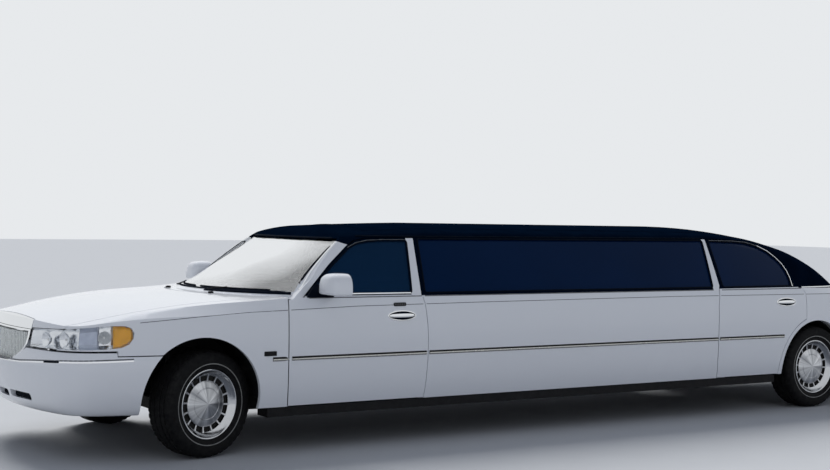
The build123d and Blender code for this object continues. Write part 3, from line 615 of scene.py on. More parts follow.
def make_world():
    """Soft sky light; the camera, mirrors and glass see a paler background."""
    world = bpy.data.worlds.new("world")
    bpy.context.scene.world = world
    world.use_nodes = True
    tree = world.node_tree
    sky = tree.nodes["Background"]
    feed(sky, Color=(0.74, 0.82, 1.0, 1.0), Strength=0.32)
    pale = tree.nodes.new("ShaderNodeBackground")
    feed(pale, Color=(0.80, 0.82, 0.84, 1.0))
    painted_highlight_rays = tree.nodes.new("ShaderNodeLightPath").outputs
    two_kinds = tree.nodes.new("ShaderNodeMath")
    three_kinds = tree.nodes.new("ShaderNodeMath")
    three_kinds.use_clamp = True
    mix = tree.nodes.new("ShaderNodeMixShader")
    for out, into in (
        (painted_highlight_rays["Is Camera Ray"], two_kinds.inputs[0]),
        (painted_highlight_rays["Is Glossy Ray"], two_kinds.inputs[1]),
        (two_kinds.outputs[0], three_kinds.inputs[0]),
        (painted_highlight_rays["Is Transmission Ray"], three_kinds.inputs[1]),
        (three_kinds.outputs[0], mix.inputs[0]),
        (sky.outputs[0], mix.inputs[1]),
        (pale.outputs[0], mix.inputs[2]),
        (mix.outputs[0], tree.nodes["World Output"].inputs["Surface"]),
    ):
        tree.links.new(out, into)


def make_lights():
    """A broad soft key from above and behind, as the photograph has it, and a weak fill."""
    for name, angle, strength, direction in (
        ("key", 35.0, 3.35, (-0.25, -0.68, -0.70)),
        ("fill", 90.0, 0.28, (0.55, 0.8, -0.25)),
    ):
        data = bpy.data.lights.new(name, "SUN")
        data.angle = radians(angle)
        data.energy = strength
        light = added(name, data)
        light.visible_glossy = False
        light.rotation_mode = "QUATERNION"
        light.rotation_quaternion = Vector(direction).to_track_quat("-Z", "Y")


def make_floor():
    size = 60.0
    corners = [(-size, -size, 0), (size, -size, 0), (size, size, 0), (-size, size, 0)]
    floor = meshed("floor", (corners, [(0, 1, 2, 3)]))
    surface = Surface("studio_floor", (0.56, 0.57, 0.58), 0.9, Specular_IOR_Level=0.05)
    surface.vary(surface.noise(3.0, 2.0), (0.555, 0.565, 0.575), (0.565, 0.575, 0.585))
    floor.data.materials.append(surface.material)


# Wheels and tyres, about the origin with the outer face towards -Y: profiles of (Y, radius)

TYRE_STEPS = 144
RIM_STEPS = 96
FINS = 16
HALF_TYRE = (
    (0.080, 0.213), (0.089, 0.2225), (0.097, 0.226), (0.106, 0.240), (0.1115, 0.262), (0.1125, 0.285),
    (0.1105, 0.303), (0.1055, 0.318), (0.098, 0.3285), (0.088, 0.3345), (0.072, 0.3368), (0.0701, 0.3368),
    (0.0700, 0.330), (0.0640, 0.330), (0.0639, 0.3374), (0.0300, TYRE_R), (0.0299, 0.330), (0.0230, 0.330),
    (0.0229, TYRE_R), (0.0, TYRE_R),
)
# The thin pale ring on the outer side wall
RING = ((-0.1085, 0.2525), (-0.1105, 0.2535), (-0.1112, 0.2565), (-0.1108, 0.2590), (-0.1080, 0.2590))
# Polished lip, deep bowl and the barrel behind
RIM = (
    (-0.0980, 0.2205), (-0.0995, 0.2170), (-0.0985, 0.2125), (-0.0940, 0.2090), (-0.0860, 0.2050),
    (-0.0740, 0.1960), (-0.0650, 0.1870), (-0.0600, 0.1800), (-0.0540, 0.1800), (0.0700, 0.1880),
    (0.0960, 0.2100), (0.0960, 0.2190), (0.0880, 0.2195), (0.0760, 0.2080), (-0.0760, 0.2080),
    (-0.0880, 0.2200),
)
# The centre: nearly flat, with a fine step and a shallow cone
DISC = (
    (-0.0540, 0.1465), (-0.0590, 0.1460), (-0.0620, 0.1430), (-0.0655, 0.1350), (-0.0685, 0.1150),
    (-0.0700, 0.1030), (-0.0730, 0.1010), (-0.0736, 0.0985), (-0.0722, 0.0965), (-0.0745, 0.0800),
    (-0.0790, 0.0500), (-0.0818, 0.0200), (-0.0824, 0.0004), (-0.0500, 0.0004), (-0.0480, 0.1400),
)
# The dark brake behind the slots
BRAKE = ((-0.046, 0.06), (-0.046, 0.178), (-0.030, 0.178), (-0.030, 0.06))


def tread(i, j, r):
    """Cuts the shoulders and the ribs next to them in short steps; i counts round the tyre, j across it."""
    across = min(j, 2 * len(HALF_TYRE) - 2 - j)
    if 8 <= across <= 11 and i % 3 == 0:
        return r - 0.006
    if across in (14, 15) and i % 4 == 0:
        return r - 0.004
    return r


def fins_mesh():
    """Radial fins between the slots, each tapered and rounded by its bevel."""
    verts = []
    for r, y, half in ((0.140, -0.0560, 0.0065), (0.162, -0.0575, 0.0050), (0.185, -0.0640, 0.0068)):
        verts += [(r, y, -half), (r, y, half), (r, y + 0.022, half * 0.8), (r, y + 0.022, -half * 0.8)]
    fin = (verts, tube_faces(3, 4))
    return join(*[moved(fin, placed((0, 0, 0), 360 * (i + 0.25) / FINS, "Y")) for i in range(FINS)])


def wheel_places():
    """The end and side of each wheel, and its place with the axle along Y."""
    for joint in frame["joints"]:
        if joint["name"].startswith("spin_"):
            _, end, side = joint["name"].split("_")
            axis = Vector(joint["axis"])
            turn = Matrix.Rotation(atan2(-axis.x, axis.y), 4, "Z")
            yield end, side, Matrix.Translation(joint["pos_m"]) @ turn


def make_wheels():
    tyre = [(-y, r) for y, r in HALF_TYRE] + [(y, r) for y, r in HALF_TYRE[-2::-1]]
    meshes = (
        # name, mesh, surface, node that it stands for, bevel
        ("tyre_tread", revolved(tyre, TYRE_STEPS, tread), "tyre", "tyre_{}_{}", 0.0),
        ("tyre_ring", revolved(RING, TYRE_STEPS), "ring", "", 0.0),
        ("rim", revolved(RIM, RIM_STEPS), "rim", "wheel_{}_{}", 0.0),
        ("wheel_disc", revolved(DISC, RIM_STEPS), "turned", "", 0.0),
        ("wheel_fins", fins_mesh(), "alloy", "", 0.0012),
        ("brake_back", revolved(BRAKE, 64), "frame", "", 0.0),
    )
    for end, side, place in wheel_places():
        for name, mesh, surface, node, bevel in meshes:
            shape = mesh if side == "left" else mirrored(mesh)
            body = f"wheel_{end}_{side}"
            piece(f"{name}_{end}_{side}", shape, surface, body, node.format(end, side), bevel, place)


# Tools for laying trim on the body

WAYS = {
    # name: axis that a ray runs along, where it starts on it, and which way it goes
    "side": (1, -3.0, 1),
    "inside": (1, 0.0, -1),
    "top": (2, 3.0, -1),
    "front": (0, -6.0, 1),
    "rear": (0, 6.0, -1),
}


def bvh(names):
    """A tree of CAD faces that rays are cast at."""
    verts, faces = [], []
    for name in names:
        mesh = nodes[name].data
        base = len(verts)
        verts += [v.co.copy() for v in mesh.vertices]
        faces += [tuple(base + i for i in p.vertices) for p in mesh.polygons]
    return BVHTree.FromPolygons(verts, faces)


def cast(tree, origin, direction):
    """First hit of a ray, with the normal turned towards where the ray came from."""
    hit, normal, _, _ = tree.ray_cast(Vector(origin), Vector(direction))
    if hit is None:
        return None
    return hit, -normal if normal.dot(Vector(direction)) > 0 else normal


def caster(way, *names):
    """Casts rays at CAD nodes one of the ways, from a place on the two other axes."""
    tree = bvh(names)
    axis, start, sign = WAYS[way]
    direction = [sign if i == axis else 0 for i in range(3)]

    def at(*place):
        return cast(tree, (*place[:axis], start, *place[axis:]), direction)

    return at


def end_caster(pivot, sign, *names):
    """Casts inwards at an upright axis; the angle grows to the left from straight off the car's end."""
    tree = bvh(names)

    def at(angle, z):
        out = Vector((sign * cos(angle), -sin(angle), 0))
        return cast(tree, Vector((*pivot, z)) + 3 * out, -out)

    return at


def laid(on, points, step=0.03, closed=False):
    """Points and normals where a caster meets the body along a line."""
    found = [on(*p) for p in dense([tuple(p) for p in points], step, closed)]
    return [f for f in found if f]


def strip(on, points, width, height, step=0.03):
    return swept(laid(on, points, step), bead(width, height))


def level(on, x, z, *size):
    """A strip between two values at one height."""
    return strip(on, [(x[0], z), (x[1], z)], *size)


def loop(on, outline, width, height, grow, corner=0.02):
    """A closed bead round an outline."""
    points = rounded(grown(outline, grow), corner)
    return swept(laid(on, points, 0.03, True), bead(width, height), True)


def grown(outline, by):
    """An outline moved outwards."""
    count = len(outline)
    area = sum(a[0] * b[1] - b[0] * a[1] for a, b in zip(outline, outline[1:] + outline[:1]))
    sign = 1 if area > 0 else -1
    out = []
    for i, point in enumerate(outline):
        p, a, b = Vector(point), Vector(outline[i - 1]), Vector(outline[(i + 1) % count])
        na, nb = [Vector((d.y, -d.x)).normalized() for d in (p - a, b - p)]
        out.append(tuple(p + sign * by * (na + nb) / (1 + na.dot(nb))))
    return out


def local_frame(spot):
    """A place on the side: X runs back along the skin, Y up it and Z out of it."""
    point, normal = spot
    up = normal.cross(Vector((-1, 0, 0))).normalized()
    if up.z < 0:
        up = -up
    return axes(up.cross(normal), up, normal, point)


# Side trim: crease line with its painted shade, moulding and where each panel's share begins and ends

CREASE = (
    (-3.4445, 0.863), (-3.0545, 0.895), (-2.7045, 0.915), (-1.9045, 0.939),
    (-0.9245, 0.947), (0.9755, 0.955), (2.6855, 0.949),
)
MOULDING_Z = 0.613
PANELS = (
    # node, body, crease from and to, moulding from and to
    ("front_fenders", "body", -3.42, -2.434, (-2.5465, -2.434)),
    ("front_door_left", FRONT_DOOR, -2.409, -1.389, (-2.409, -1.375)),
    ("side_panels", "body", -1.364, 1.406, (-1.350, 1.378)),
    ("rear_door_left", REAR_DOOR, 1.432, 2.381, (1.400, 2.126)),
    ("rear_quarters", "body", 2.406, 3.6, None),
)


def make_side_trim():
    for node, body, start, end, moulding in PANELS:
        on = caster("side", node)
        line = [(x, between(CREASE, x)) for x in np.linspace(start, end, 24)]
        # A thin dark bead along the crease: painted shade.
        pair(f"crease_{node}", strip(on, line, 0.0045, 0.0006, 0.05), "seam", body)
        if moulding:
            pair(f"moulding_{node}", level(on, moulding, MOULDING_Z, 0.027, 0.006), "black", body)
            bright = level(on, moulding, MOULDING_Z - 0.004, 0.016, 0.0085)
            pair(f"moulding_strip_{node}", bright, "moulding", body)


def plate(length, height, depth, corner, crown=0.0):
    """A rounded plate in its own X and Y, with a crowned face."""
    x, y = length / 2, height / 2
    outline = rounded([(-x, -y), (x, -y), (x, y), (-x, y)], corner)
    rows = ((1.0, -0.002), (1.0, depth * 0.7), (0.985, depth), (0.5, depth + crown))
    verts = [(a * share, b * share, z) for share, z in rows for a, b in outline]
    return verts, tube_faces(len(rows), len(outline))


def oval_ring(half_x, half_y, tube_r, steps=48, around=10):
    verts = []
    for c, s in circle(steps):
        for out, up in circle(around):
            r = tube_r * out
            verts.append(((half_x + r) * c, (half_y + r) * s, tube_r * up * 0.9))
    return verts, grid_faces(steps, around, True, True)


def oval_dish(half_x, half_y, rise, steps=48):
    """An oval, dished face."""
    shares = (1.0, 0.8, 0.55, 0.25, 0.02)
    verts = []
    for share in shares:
        z = rise * (0.4 + 0.6 * share ** 2)
        verts += [(half_x * share * c, half_y * share * s, z) for c, s in circle(steps)]
    return verts, grid_faces(len(shares), steps, False, True) + [row_face(4, steps)]


def grip(length, height, thick, stand):
    """A pull handle: a flattened rod, bowed away from the door and let into it at both ends."""
    verts = []
    rows, around = 17, 12
    for i in range(rows):
        t = i / (rows - 1)
        bow = sin(pi * t) ** 0.5
        wide = height / 2 * (0.55 + 0.45 * bow)
        for c, s in circle(around):
            verts.append((length * (t - 0.5), wide * c, -0.002 + stand * bow + thick / 2 * s))
    return verts, tube_faces(rows, around)


def make_handles():
    parts = (
        ("bezel", oval_ring(0.107, 0.031, 0.0055), "chrome"),
        # The dark dish is painted shade in the handle's recess.
        ("cup", oval_dish(0.106, 0.030, 0.004), "seal"),
        ("grip", grip(0.200, 0.026, 0.012, 0.022), "chrome"),
    )
    for end, x, z in (("front", -1.569, 0.868), ("rear", 2.160, 0.889)):
        place = local_frame(caster("side", f"{end}_door_left")(x, z))
        for name, mesh, surface in parts:
            pair(f"handle_{name}_{end}", moved(mesh, place), surface, f"door_{end}_{{side}}")
    place = local_frame(caster("side", "front_door_left")(-1.580, 0.944))
    pair("keypad_bar", moved(plate(0.098, 0.024, 0.005, 0.009, 0.001), place), "black", FRONT_DOOR)
    key = plate(0.013, 0.012, 0.0065, 0.003, 0.0005)
    keys = join(*[moved(key, placed((0.0175 * i, 0, 0))) for i in (-2, -1, 0, 1, 2)])
    pair("keypad_keys", moved(keys, place), "trim", FRONT_DOOR)
    place = local_frame(caster("side", "front_fenders")(-2.565, 0.650))
    pair("fender_plate", moved(plate(0.088, 0.030, 0.004, 0.004, 0.0005), place), "black")


# Windows: outlines as the doors and the roof are cut

FRONT_WINDOW = (
    (-2.232, 1.022), (-1.456, 1.022), (-1.380, 1.368), (-1.560, 1.367), (-1.690, 1.361),
    (-1.778, 1.345), (-1.844, 1.315), (-2.012, 1.193),
)
REAR_WINDOW = (
    (1.492, 1.022), (2.298, 1.022), (2.310, 1.080), (2.304, 1.140), (2.280, 1.192), (2.236, 1.240),
    (2.170, 1.290), (2.080, 1.332), (1.960, 1.360), (1.800, 1.370), (1.526, 1.374),
)
CENTRE_WINDOW = ((-1.342, 1.022), (1.374, 1.022), (1.450, 1.380), (-1.280, 1.380))
SCREEN = ((-0.795, 1.030), (0.795, 1.030), (0.652, 1.380), (-0.652, 1.380))
BACKLIGHT = ((-0.500, 1.052), (0.500, 1.052), (0.455, 1.290), (-0.455, 1.290))
FRONT_LINE = ((-1.855, 1.321), (-1.785, 1.351), (-1.695, 1.369), (-1.560, 1.375), (-1.386, 1.376))
REAR_LINE_TOP = ((1.532, 1.383), (1.80, 1.380), (1.965, 1.370), (2.086, 1.342))
REAR_LINE_END = (
    (2.086, 1.342), (2.178, 1.299), (2.246, 1.247), (2.292, 1.196), (2.316, 1.141), (2.322, 1.080),
    (2.311, 1.012),
)


def make_window_trim():
    front, rear = [caster("side", f"{end}_door_left") for end in ("front", "rear")]
    over_side = caster("side", "side_panels", "roof")
    for name, on, outline, body in (
        ("front", front, FRONT_WINDOW, FRONT_DOOR),
        ("rear", rear, REAR_WINDOW, REAR_DOOR),
        ("middle", over_side, CENTRE_WINDOW, "body"),
    ):
        pair(f"seal_{name}", loop(on, outline, 0.012, 0.003, 0.004), "seal", body)
    pair("belt_chrome", level(front, (-2.195, -1.463), 1.016, 0.013, 0.007), "chrome", FRONT_DOOR)
    for name, on, x, body in (
        ("front", front, (-2.262, -1.388), FRONT_DOOR),
        ("middle", caster("side", "side_panels"), (-1.362, 1.372), "body"),
        ("rear", rear, (1.462, 2.376), REAR_DOOR),
    ):
        pair(f"belt_line_{name}", level(on, x, 0.9965, 0.007, 0.003), "seam", body)
    pair("window_line_front", strip(front, FRONT_LINE, 0.0035, 0.004), "dark_chrome", FRONT_DOOR)
    pair("window_line_top", strip(rear, REAR_LINE_TOP, 0.0035, 0.004, 0.02), "dark_chrome", REAR_DOOR)
    pair("window_line_rear", strip(rear, REAR_LINE_END, 0.007, 0.005, 0.02), "chrome", REAR_DOOR)


def make_screen_trim():
    on = caster("front", "windshield_frame", "roof")
    piece("screen_gasket", loop(on, SCREEN, 0.018, 0.004, 0.002, 0.06), "seal")
    base = [(y, 1.020) for y in np.linspace(-0.79, -0.20, 14)]
    piece("screen_base", strip(on, base, 0.024, 0.006, 0.06), "seal")
    sides = [(-0.814, 1.045), (-0.674, 1.355)]
    pair("pillar_chrome", strip(caster("front", "windshield_frame"), sides, 0.009, 0.006), "chrome")
    behind = caster("rear", "roof", "rear_window")
    piece("backlight_gasket", loop(behind, BACKLIGHT, 0.030, 0.005, 0.004, 0.05), "seal")
    glass = caster("front", "windshield")
    rubber_edge = [(-0.003, -0.001), (0.003, -0.001), (0.004, 0.009), (-0.004, 0.009)]
    for name, low, high in (("left", -0.66, -0.06), ("right", 0.02, 0.60)):
        blade = laid(glass, [(low, 1.034), (high, 1.034)])
        piece(f"wiper_blade_{name}", swept(blade, rubber_edge), "seal")
        point, normal = blade[len(blade) // 2]
        foot = on(low + 0.42, 1.020)[0] + Vector((-0.006, 0, 0.004))
        top = point + normal * 0.012
        piece(f"wiper_arm_{name}", tube([foot, foot.lerp(top, 0.5), top], 0.0045), "black")
    nozzle = plate(0.036, 0.020, 0.010, 0.008, 0.003)
    for name, y in (("left", -0.36), ("right", 0.36)):
        point, _ = caster("top", "cowl", "hood")(-2.700, y)
        piece(f"washer_nozzle_{name}", moved(nozzle, placed(point)), "black")


# Door mirrors: rings from the front of the shell to its rim

MIRROR_AT = Vector((-2.155, -1.068, 1.050))
SHELL_ROWS = (
    # X from the middle, share of the full section
    (-0.0755, 0.12), (-0.0745, 0.40), (-0.069, 0.66), (-0.056, 0.84), (-0.034, 0.95), (0.0, 0.995),
    (0.050, 1.0), (0.0745, 0.985), (0.0755, 0.955), (0.064, 0.945),
)
GLASS_ROWS = ((0.064, 0.945), (0.067, 0.60), (0.068, 0.02))
SAIL_LEAN = 0.566


def mirror_section(half_y, top, bottom):
    """A section across the shell: well rounded above, flatter below."""
    points = []
    for c, s in circle(40):
        y = half_y * abs(c) ** (0.62 if s > 0 else 0.30) * (1 if c > 0 else -1)
        points.append((y, top * s ** 0.72 if s > 0 else -bottom * abs(s) ** 0.45))
    return points


def make_mirrors():
    section = mirror_section(0.115, 0.114, 0.030)
    count = len(section)
    for name, rows, closed, surface, node in (
        ("shell", SHELL_ROWS, 0, "paint", "mirror_{side}"),
        ("glass", GLASS_ROWS, len(GLASS_ROWS) - 1, "mirror", ""),
    ):
        verts = [MIRROR_AT + Vector((x, y * share, z * share)) for x, share in rows for y, z in section]
        faces = grid_faces(len(rows), count, False, True) + [row_face(closed, count)]
        pair(f"mirror_{name}", (verts, faces), surface, FRONT_DOOR, node)
    outline = rounded([(-2.285, 0.998), (-2.070, 0.998), (-2.100, 1.050), (-2.200, 1.085)], 0.02)
    skin = [Vector((x, -0.930 + SAIL_LEAN * (z - BELT_Z), z)) for x, z in outline]
    out = Vector((0, -1, SAIL_LEAN)).normalized()
    verts = [p + lift * out for lift in (-0.003, 0.016) for p in skin]
    pair("mirror_sail", (verts, tube_faces(2, len(skin))), "seal", FRONT_DOOR, bevel=0.003)
    foot = [(-2.165, -0.925, 1.042), (-2.160, -0.955, 1.046), (-2.156, -0.985, 1.052)]
    pair("mirror_foot", tube(foot, 0.017, 14), "seal", FRONT_DOOR)


# Lamps: the lower and upper edge as X and Z, and the span of the lamp as angles about its pivot

LAMP_BOTTOM = (
    (-4.1, 0.692), (-3.74, 0.703), (-3.596, 0.708), (-3.533, 0.716), (-3.488, 0.736), (-3.463, 0.770),
)
LAMP_TOP = (
    (-4.1, 0.786), (-3.76, 0.832), (-3.604, 0.848), (-3.51, 0.846), (-3.474, 0.834), (-3.457, 0.806),
)
LAMP_PIVOT = (-3.50, -0.50)
LAMP_MIDDLE_Z = 0.768
LAMP_SPAN = (-12.6, 94.6)
BOWL_STEPS = 32
BOWLS = (
    # name, angle, radius, Z, the way that it faces
    ("a", 33, 0.052, 0.757, (-1, -0.15, 0)),
    ("b", 71, 0.040, 0.775, (-0.3, -1, 0)),
    ("c", 6, 0.048, 0.748, (-1, -0.15, 0)),
)
# A bulb's share of the bowl's depth, and its radius there
BULB = ((1.0, 0.006), (0.5, 0.008), (0.35, 0.006), (0.3, 0.0005))


def lamp_patch(on, angles, depth, rim=None, margin=0.0, heights=9, columns=36):
    """A sheet that follows the lamp's outer face at a depth; with a rim, its edges come forward to that."""
    verts = []
    for i, angle in enumerate(np.linspace(*[radians(a) for a in angles], columns)):
        inward = Vector((cos(angle), sin(angle), 0))
        middle = on(angle, LAMP_MIDDLE_Z)[0]
        low = between(LAMP_BOTTOM, middle.x) + margin
        high = between(LAMP_TOP, middle.x) - margin
        for j in range(heights):
            z = low + (high - low) * j / (heights - 1)
            spot = on(angle, z)
            point = spot[0] if spot else Vector((middle.x, middle.y, z))
            edge = rim is not None and (i in (0, columns - 1) or j in (0, heights - 1))
            verts.append(point + inward * (rim if edge else depth))
    return verts, grid_faces(columns, heights)


def bowl(centre, facing, radius, depth):
    """A reflector, open towards where it faces, and its bulb."""
    place = Matrix.Translation(centre) @ Vector(facing).to_track_quat("Y", "Z").to_matrix().to_4x4()
    shares = (1.0, 0.85, 0.65, 0.42, 0.2, 0.05)
    verts = []
    for share in shares:
        r, y = radius * share, -depth * (1 - share ** 2)
        verts += [(r * c, y, r * s) for c, s in circle(BOWL_STEPS)]
    dish = verts, grid_faces(len(shares), BOWL_STEPS, False, True)
    glow = revolved([(-depth * share, r) for share, r in BULB], 16)
    return moved(dish, place), moved(glow, place)


def make_headlamps():
    on = end_caster(LAMP_PIVOT, -1, "headlamps")
    lenses = pair("lamp_lens", lamp_patch(on, LAMP_SPAN, 0.0005), "lens")
    for obj in lenses:
        obj.modifiers.new("thick", "SOLIDIFY").thickness = 0.003
        obj.modifiers.move(len(obj.modifiers) - 1, 0)
    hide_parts("headlamps")
    pair("lamp_tub", lamp_patch(on, LAMP_SPAN, 0.075, 0.006), "reflector")
    pair("lamp_panel", lamp_patch(on, (47, 66), 0.030, 0.050, 0.010, 7, 14), "lamp_panel")
    pair("lamp_amber", lamp_patch(on, (78.5, 94.2), 0.006, 0.020, 0.006, 9, 16), "amber")
    for name, angle, radius, z, facing in BOWLS:
        turn = radians(angle)
        centre = on(turn, z)[0] + 0.022 * Vector((cos(turn), sin(turn), 0))
        dish, glow = bowl(centre, facing, radius, 0.040)
        pair(f"lamp_bowl_{name}", dish, "reflector")
        pair(f"lamp_bulb_{name}", glow, "bulb")


# Bumpers: the groove's reach and height by the angle about a pivot, in degrees, and the intake's rows

BUMPER_PIVOT_X = 3.40
BUMPER_REACH = 86
GROOVE_Z = ((0, 0.594), (30, 0.606), (60, 0.638), (100, 0.652))
INTAKE_Z = 0.46
INTAKE_ROWS = (0.340, 0.37, 0.40, 0.44)


def make_bumper_trim():
    on = {
        end: end_caster((sign * BUMPER_PIVOT_X, 0.0), sign, f"{end}_bumper")
        for end, sign in (("front", -1), ("rear", 1))
    }
    turns = np.linspace(-BUMPER_REACH, BUMPER_REACH, 90)
    groove = [(radians(a), between(GROOVE_Z, abs(a))) for a in turns]
    # A chrome bead just under the groove: a painted highlight along the bumper.
    painted_highlight_line = [(a, z - 0.011) for a, z in groove]
    for end in on:
        # The groove is only a dark strip laid on the bumper: painted shade.
        piece(f"{end}_bumper_groove_shade", strip(on[end], groove, 0.008, 0.0006, 0.06), "seam")
        piece(f"{end}_bumper_painted_highlight", strip(on[end], painted_highlight_line, 0.009, 0.0008, 0.06), "chrome")
    slot = [(radians(50), 0.620), (radians(58), 0.628)]
    pair("bumper_slot", strip(on["front"], slot, 0.013, 0.003, 0.01), "seal")
    # A dark sheet behind the intakes: painted shade, so that the openings read dark.
    nose = caster("front", "front_bumper")
    line = [(nose(y, INTAKE_Z)[0].x + 0.050, y) for y in np.linspace(-0.46, 0.46, 47)]
    verts = [(x, y, z) for x, y in line for z in INTAKE_ROWS]
    intake_shade_sheet = piece("intake_backing", (verts, grid_faces(len(line), len(INTAKE_ROWS))), "seal")
    intake_shade_sheet.modifiers.new("thick", "SOLIDIFY").thickness = 0.004
    bars = [tube([(x + 0.002, y, 0.335), (x + 0.002, y, 0.430)], 0.0025, 6)
            for x, y in line if not 0.1 <= abs(y) <= 0.13]
    piece("intake_bars", join(*bars), "black")


def make_rear_trim():
    behind = caster("rear", "trunk_lid", "rear_quarters", "rear_bumper", "tail_lamps")
    spot, normal = behind(0.0, 0.765)
    up = Vector((0, 0, 1)) - normal * normal.z
    place = axes(Vector((0, 1, 0)), up.normalized(), normal, spot + normal * 0.001)
    piece("plate_holder", moved(plate(0.345, 0.175, 0.006, 0.012), place), "black", "trunk_lid")
    raised = place @ placed((0, 0, 0.006))
    piece("plate_blank", moved(plate(0.318, 0.152, 0.002, 0.008), raised), "plate", "trunk_lid")
    bar = [(y, 0.874) for y in np.linspace(-0.54, 0.54, 20)]
    piece("lid_chrome", strip(behind, bar, 0.026, 0.010), "chrome", "trunk_lid")
    tail = end_caster((BUMPER_PIVOT_X, 0.0), 1, "tail_lamps")
    for name, z in (("low", 0.748), ("high", 0.800)):
        line = [(radians(a), z) for a in np.linspace(48, 68, 14)]
        pair(f"tail_rib_{name}", strip(tail, line, 0.008, 0.003, 0.05), "chrome")
    tip = revolved([(-0.050, 0.036), (0.050, 0.038), (0.052, 0.036), (0.050, 0.033), (-0.050, 0.031)], 40)
    pair("exhaust_tip", moved(tip, placed((3.865, -0.365, 0.255), -90)), "chrome")


def make_roof_trim():
    on = caster("top", "roof")
    seam = [(x, -0.50 - 0.02 * max(0.0, x)) for x in np.linspace(-1.62, 2.30, 60)]
    pair("roof_seam", strip(on, seam, 0.012, 0.0025, 0.08), "vinyl")
    across = [(-1.60, y) for y in np.linspace(-0.50, 0.50, 24)]
    piece("roof_hem", strip(on, across, 0.014, 0.003, 0.05), "vinyl")
    side = caster("side", "roof")
    rail = [(x, 1.398) for x in np.linspace(-1.76, 1.50, 60)]
    pair("drip_rail", strip(side, rail, 0.010, 0.006, 0.06), "seal")
    hem = [(x, 1.004) for x in np.linspace(2.42, 2.98, 14)]
    pair("vinyl_hem", strip(side, hem, 0.010, 0.004, 0.05), "chrome")
    corner = ((2.68, -0.883), (3.01, -0.883), (3.01, -0.62), (2.94, -0.62))
    verts = [(x, y, z) for z in (0.9875, 0.9925) for x, y in corner]
    pair("deck_corner", (verts, tube_faces(2, 4)), "paint")


# Cabin: padded seats and what stands beside them

SEATS = {"front": "front_seats", "rear": "rear_seat", "couch": "side_couch"}
PADS = (
    # name, X, Y, Z, lean back per metre of height, seams across X or the height, seams across Y
    ("front_cushion", (-1.780, -1.345), (-0.67, -0.18), (0.470, 0.612), 0.0, (-1.64, -1.50), (-0.58, -0.27)),
    ("front_back", (-1.320, -1.235), (-0.665, -0.185), (0.600, 1.010), 0.24, (0.74, 0.88), (-0.58, -0.27)),
    ("front_rest", (-1.222, -1.160), (-0.560, -0.290), (1.000, 1.112), 0.20, (), ()),
    ("rear_cushion", (1.570, 2.000), (-0.650, 0.650), (0.520, 0.682), 0.0, (1.72, 1.86), (-0.22, 0.22)),
    ("rear_back", (2.030, 2.110), (-0.650, 0.650), (0.665, 1.140), 0.38, (0.82, 0.98), (-0.22, 0.22)),
    ("couch_cushion_a", (-0.992, 0.140), (0.340, 0.645), (0.520, 0.692), 0.0, (-0.60, -0.22), (0.49,)),
    ("couch_cushion_b", (0.160, 1.292), (0.340, 0.645), (0.520, 0.692), 0.0, (0.53, 0.91), (0.49,)),
    ("couch_back_a", (-0.992, 0.140), (0.662, 0.782), (0.610, 0.972), 0.0, (0.79,), (0.72,)),
    ("couch_back_b", (0.160, 1.292), (0.662, 0.782), (0.610, 0.972), 0.0, (0.79,), (0.72,)),
)
BASES = (
    # name, X, Y, Z
    ("front_base_left", (-1.765, -1.30), (-0.655, -0.195), (0.350, 0.470)),
    ("front_base_right", (-1.765, -1.30), (0.195, 0.655), (0.350, 0.470)),
    ("rear_base", (1.585, 1.975), (-0.64, 0.64), (0.445, 0.530)),
    ("couch_base", (-0.985, 1.285), (0.360, 0.785), (0.350, 0.525)),
)
PAD_VOXEL = 0.016
PAD_PRESSURE = 4.0
PAD_FRAMES = 20
PAD_CAP = 0.016
SEAM_DEPTH = 0.011
SEAM_WIDTH = 0.011


def seat_node(name):
    """The CAD node that a pad or base stands for."""
    return SEATS[name.split("_")[0]]


def evaluated(obj):
    return obj.evaluated_get(bpy.context.evaluated_depsgraph_get())


def puff(obj):
    """Fills a pad with cloth under pressure, and keeps each point near where it began."""
    scene = bpy.context.scene
    cloth = obj.modifiers.new("cloth", "CLOTH")
    cloth.settings.use_pressure = True
    cloth.settings.uniform_pressure_force = PAD_PRESSURE
    cloth.settings.effector_weights.gravity = 0.0
    for step in range(1, PAD_FRAMES + 1):
        scene.frame_set(step)
    ends = [v.co.copy() for v in evaluated(obj).data.vertices]
    obj.modifiers.remove(cloth)
    for vertex, end in zip(obj.data.vertices, ends):
        step = end - vertex.co
        vertex.co += step * min(1.0, PAD_CAP / max(step.length, 1e-9))
    scene.frame_set(1)


def sew(obj, across, rows, columns):
    """Pulls a pad in along its seams: rows along X or the height, columns along Y."""
    for vertex in obj.data.vertices:
        gaps = [vertex.co[across] - value for value in rows] + [vertex.co.y - value for value in columns]
        depth = sum(exp(-((gap / SEAM_WIDTH) ** 2)) for gap in gaps)
        vertex.co -= vertex.normal * SEAM_DEPTH * min(1.0, depth)


def pad(name, x, y, z, lean, rows, columns):
    """A padded piece: a rounded block, remeshed, filled and then sewn along its seams."""
    inset = PAD_CAP * 0.8
    limits = [(low + inset, high - inset) for low, high in (x, y, z)]
    obj = meshed(name, box(*limits))
    edge = obj.modifiers.new("edge", "BEVEL")
    edge.width = min(0.030, 0.3 * min(high - low for low, high in limits))
    edge.segments = 4
    voxels = obj.modifiers.new("voxels", "REMESH")
    voxels.mode = "VOXEL"
    voxels.voxel_size = PAD_VOXEL
    bpy.context.view_layer.update()
    shaped = bpy.data.meshes.new_from_object(evaluated(obj))
    obj.modifiers.clear()
    obj.data = shaped
    puff(obj)
    upright = z[1] - z[0] > x[1] - x[0]
    sew(obj, 2 if upright else 0, rows, columns)
    for vertex in obj.data.vertices:
        vertex.co.x += lean * (vertex.co.z - z[0])
    obj.data.materials.clear()
    obj.data.materials.append(SURFACES["leather"].material)
    finer = obj.modifiers.new("finer", "SUBSURF")
    finer.levels = finer.render_levels = 1
    for face in obj.data.polygons:
        face.use_smooth = True
    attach(obj, "body")
    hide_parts(seat_node(name))


